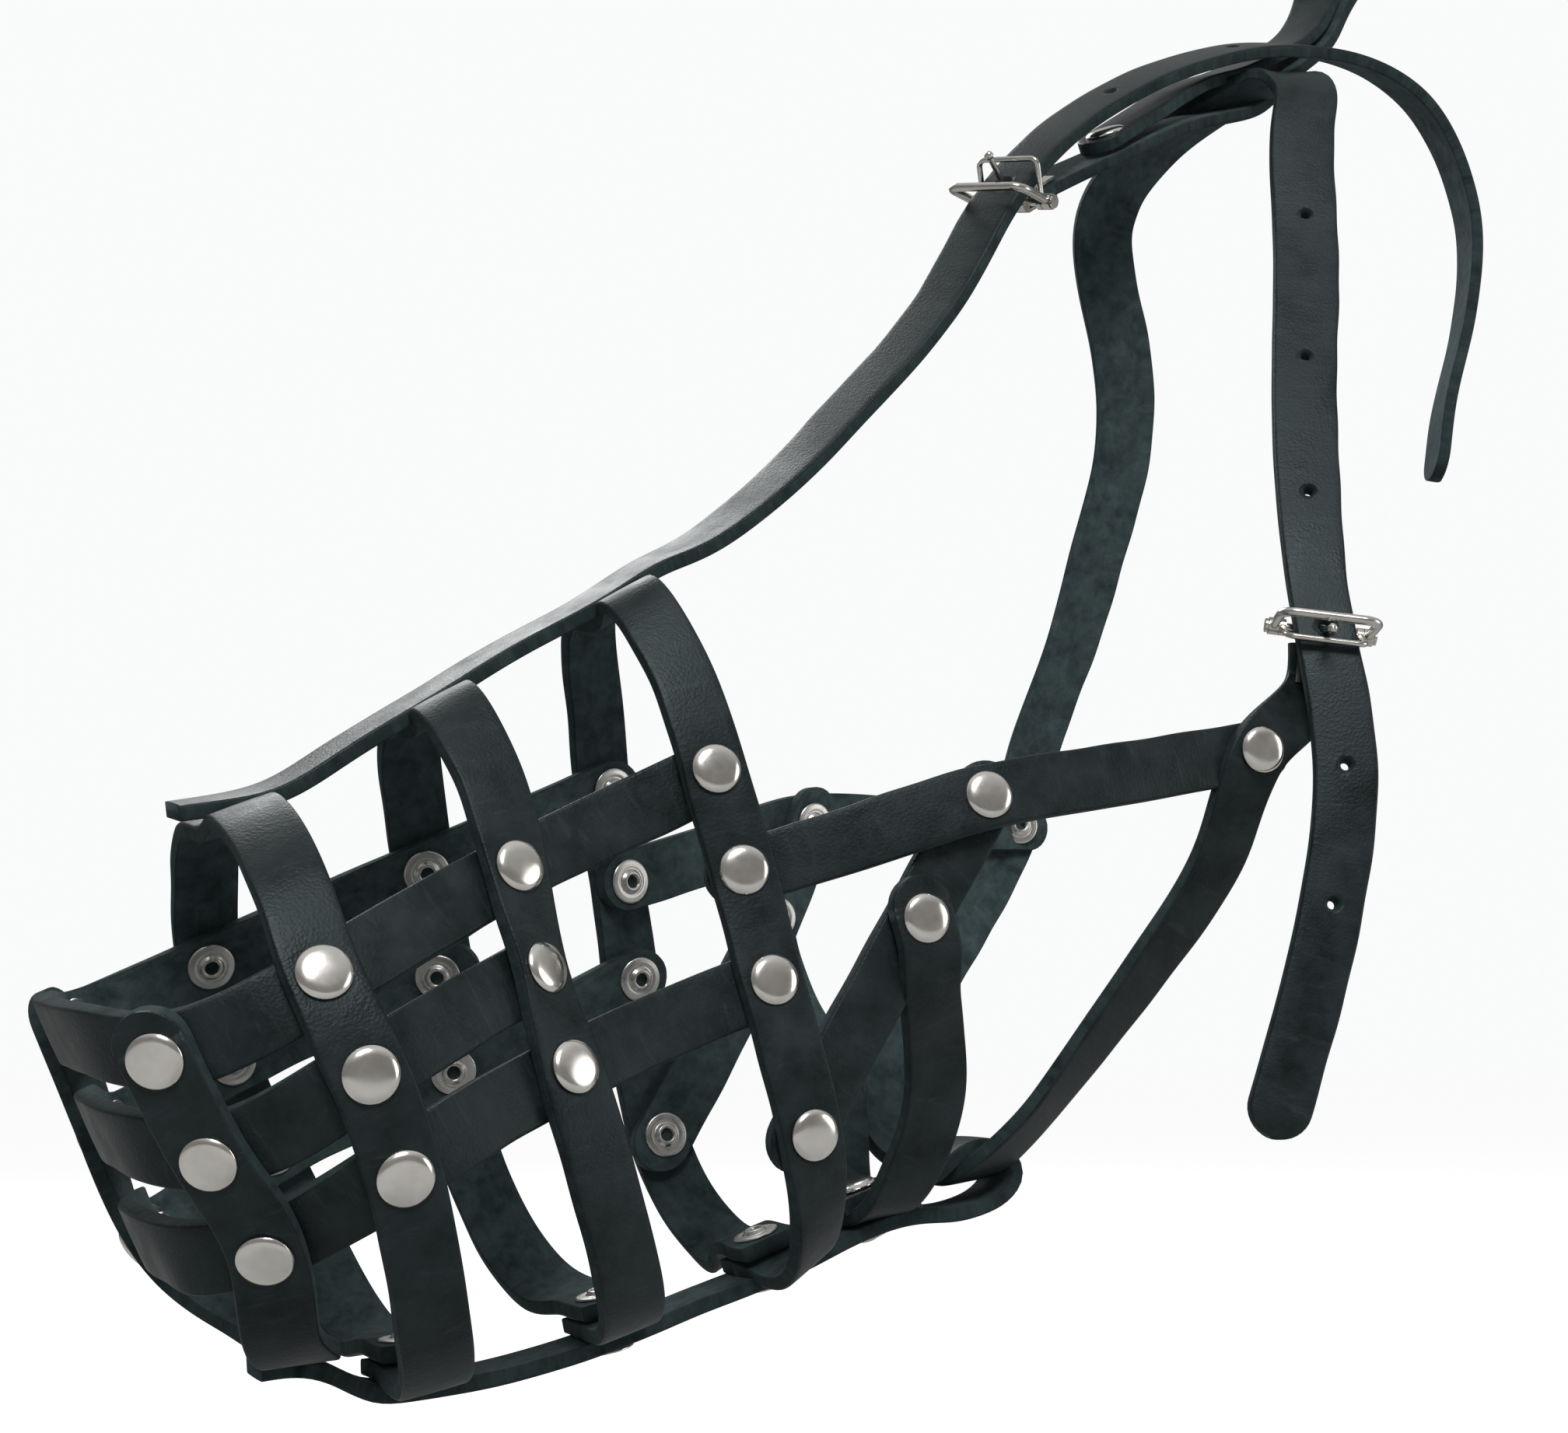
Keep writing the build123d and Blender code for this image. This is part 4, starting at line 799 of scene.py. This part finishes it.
# ---------------------------------------------------------------- studio
floor_z, floor_r = -0.145, 14.0
floor_grey, floor_glow = 0.42, 0.775     # the glow is seen by the camera only and lights nothing
bpy.ops.mesh.primitive_circle_add(vertices=96, radius=floor_r, fill_type="NGON", location=(0, 0, floor_z))
floor = bpy.context.object
floor.name = "studio_floor"
m, n, l, p = nodes_of("floor")
p.inputs["Base Color"].default_value = (floor_grey, floor_grey, floor_grey, 1)
p.inputs["Emission Color"].default_value = (1.0, 1.0, 1.0, 1)
to_eye = add(n, "ShaderNodeMath", operation="MULTIPLY")
to_eye.inputs[1].default_value = floor_glow
l.new(n.new("ShaderNodeLightPath").outputs["Is Camera Ray"], to_eye.inputs[0])
l.new(to_eye.outputs[0], p.inputs["Emission Strength"])
p.inputs["Roughness"].default_value = 0.9
p.inputs["Specular IOR Level"].default_value = 0.1
floor.data.materials.append(m)

world = bpy.data.worlds.new("studio")
bpy.context.scene.world = world
world.use_nodes = True
wn, wl = world.node_tree.nodes, world.node_tree.links
soft, seen = wn["Background"], wn.new("ShaderNodeBackground")
height = wn.new("ShaderNodeSeparateXYZ")
wl.new(wn.new("ShaderNodeTexCoord").outputs["Generated"], height.inputs[0])
wl.new(ramp(wn, wl, height.outputs["Z"], (0.34, 0.335, 0.325), (0.90, 0.91, 0.92), (0.35, 0.85)),
       soft.inputs["Color"])
soft.inputs["Strength"].default_value = 0.62
seen.inputs["Color"].default_value = (0.955, 0.96, 0.965, 1)
pick, path = wn.new("ShaderNodeMixShader"), wn.new("ShaderNodeLightPath")
wl.new(path.outputs["Is Camera Ray"], pick.inputs[0])
wl.new(soft.outputs[0], pick.inputs[1])
wl.new(seen.outputs[0], pick.inputs[2])
wl.new(pick.outputs[0], wn["World Output"].inputs["Surface"])


def area_light(name, at, aim, size, watts, colour=(1, 1, 1)):
    """A round soft lamp at one place, turned to another."""
    data = bpy.data.lights.new(name, "AREA")
    data.shape, data.size, data.energy, data.color = "DISK", size, watts, colour
    obj = bpy.data.objects.new(name, data)
    bpy.context.scene.collection.objects.link(obj)
    obj.location = at
    obj.rotation_euler = (Vector(aim) - Vector(at)).to_track_quat("-Z", "Y").to_euler()


centre = (0.04, 0.0, 0.08)     # of the muzzle, which every lamp looks at
area_light("key", (-0.35, -0.95, 0.95), centre, 0.55, 11.0)
area_light("fill", (1.1, -0.8, 0.25), centre, 0.8, 3.0)
area_light("rim", (0.0, 0.9, 1.0), centre, 0.7, 8.0)

# ---------------------------------------------------------------- camera
data = bpy.data.cameras.new("camera")
cam = bpy.data.objects.new("camera", data)
bpy.context.scene.collection.objects.link(cam)
fwd = unit((0.4428, 0.8814, 0.1644))
right = unit(np.cross(fwd, (0, 0, 1)))
up = np.cross(right, fwd)
eye = metres((-64.62, -378.41, 14.43))
cam.matrix_world = Matrix(((right[0], up[0], -fwd[0], eye[0]), (right[1], up[1], -fwd[1], eye[1]),
                           (right[2], up[2], -fwd[2], eye[2]), (0, 0, 0, 1)))
data.sensor_width, data.lens = 36.0, 46.8
data.shift_x, data.shift_y = -0.0040, 0.0037
data.clip_start, data.clip_end = 0.01, 60
data.dof.use_dof = False
bpy.context.scene.camera = cam
bpy.context.scene.view_settings.view_transform = "Standard"
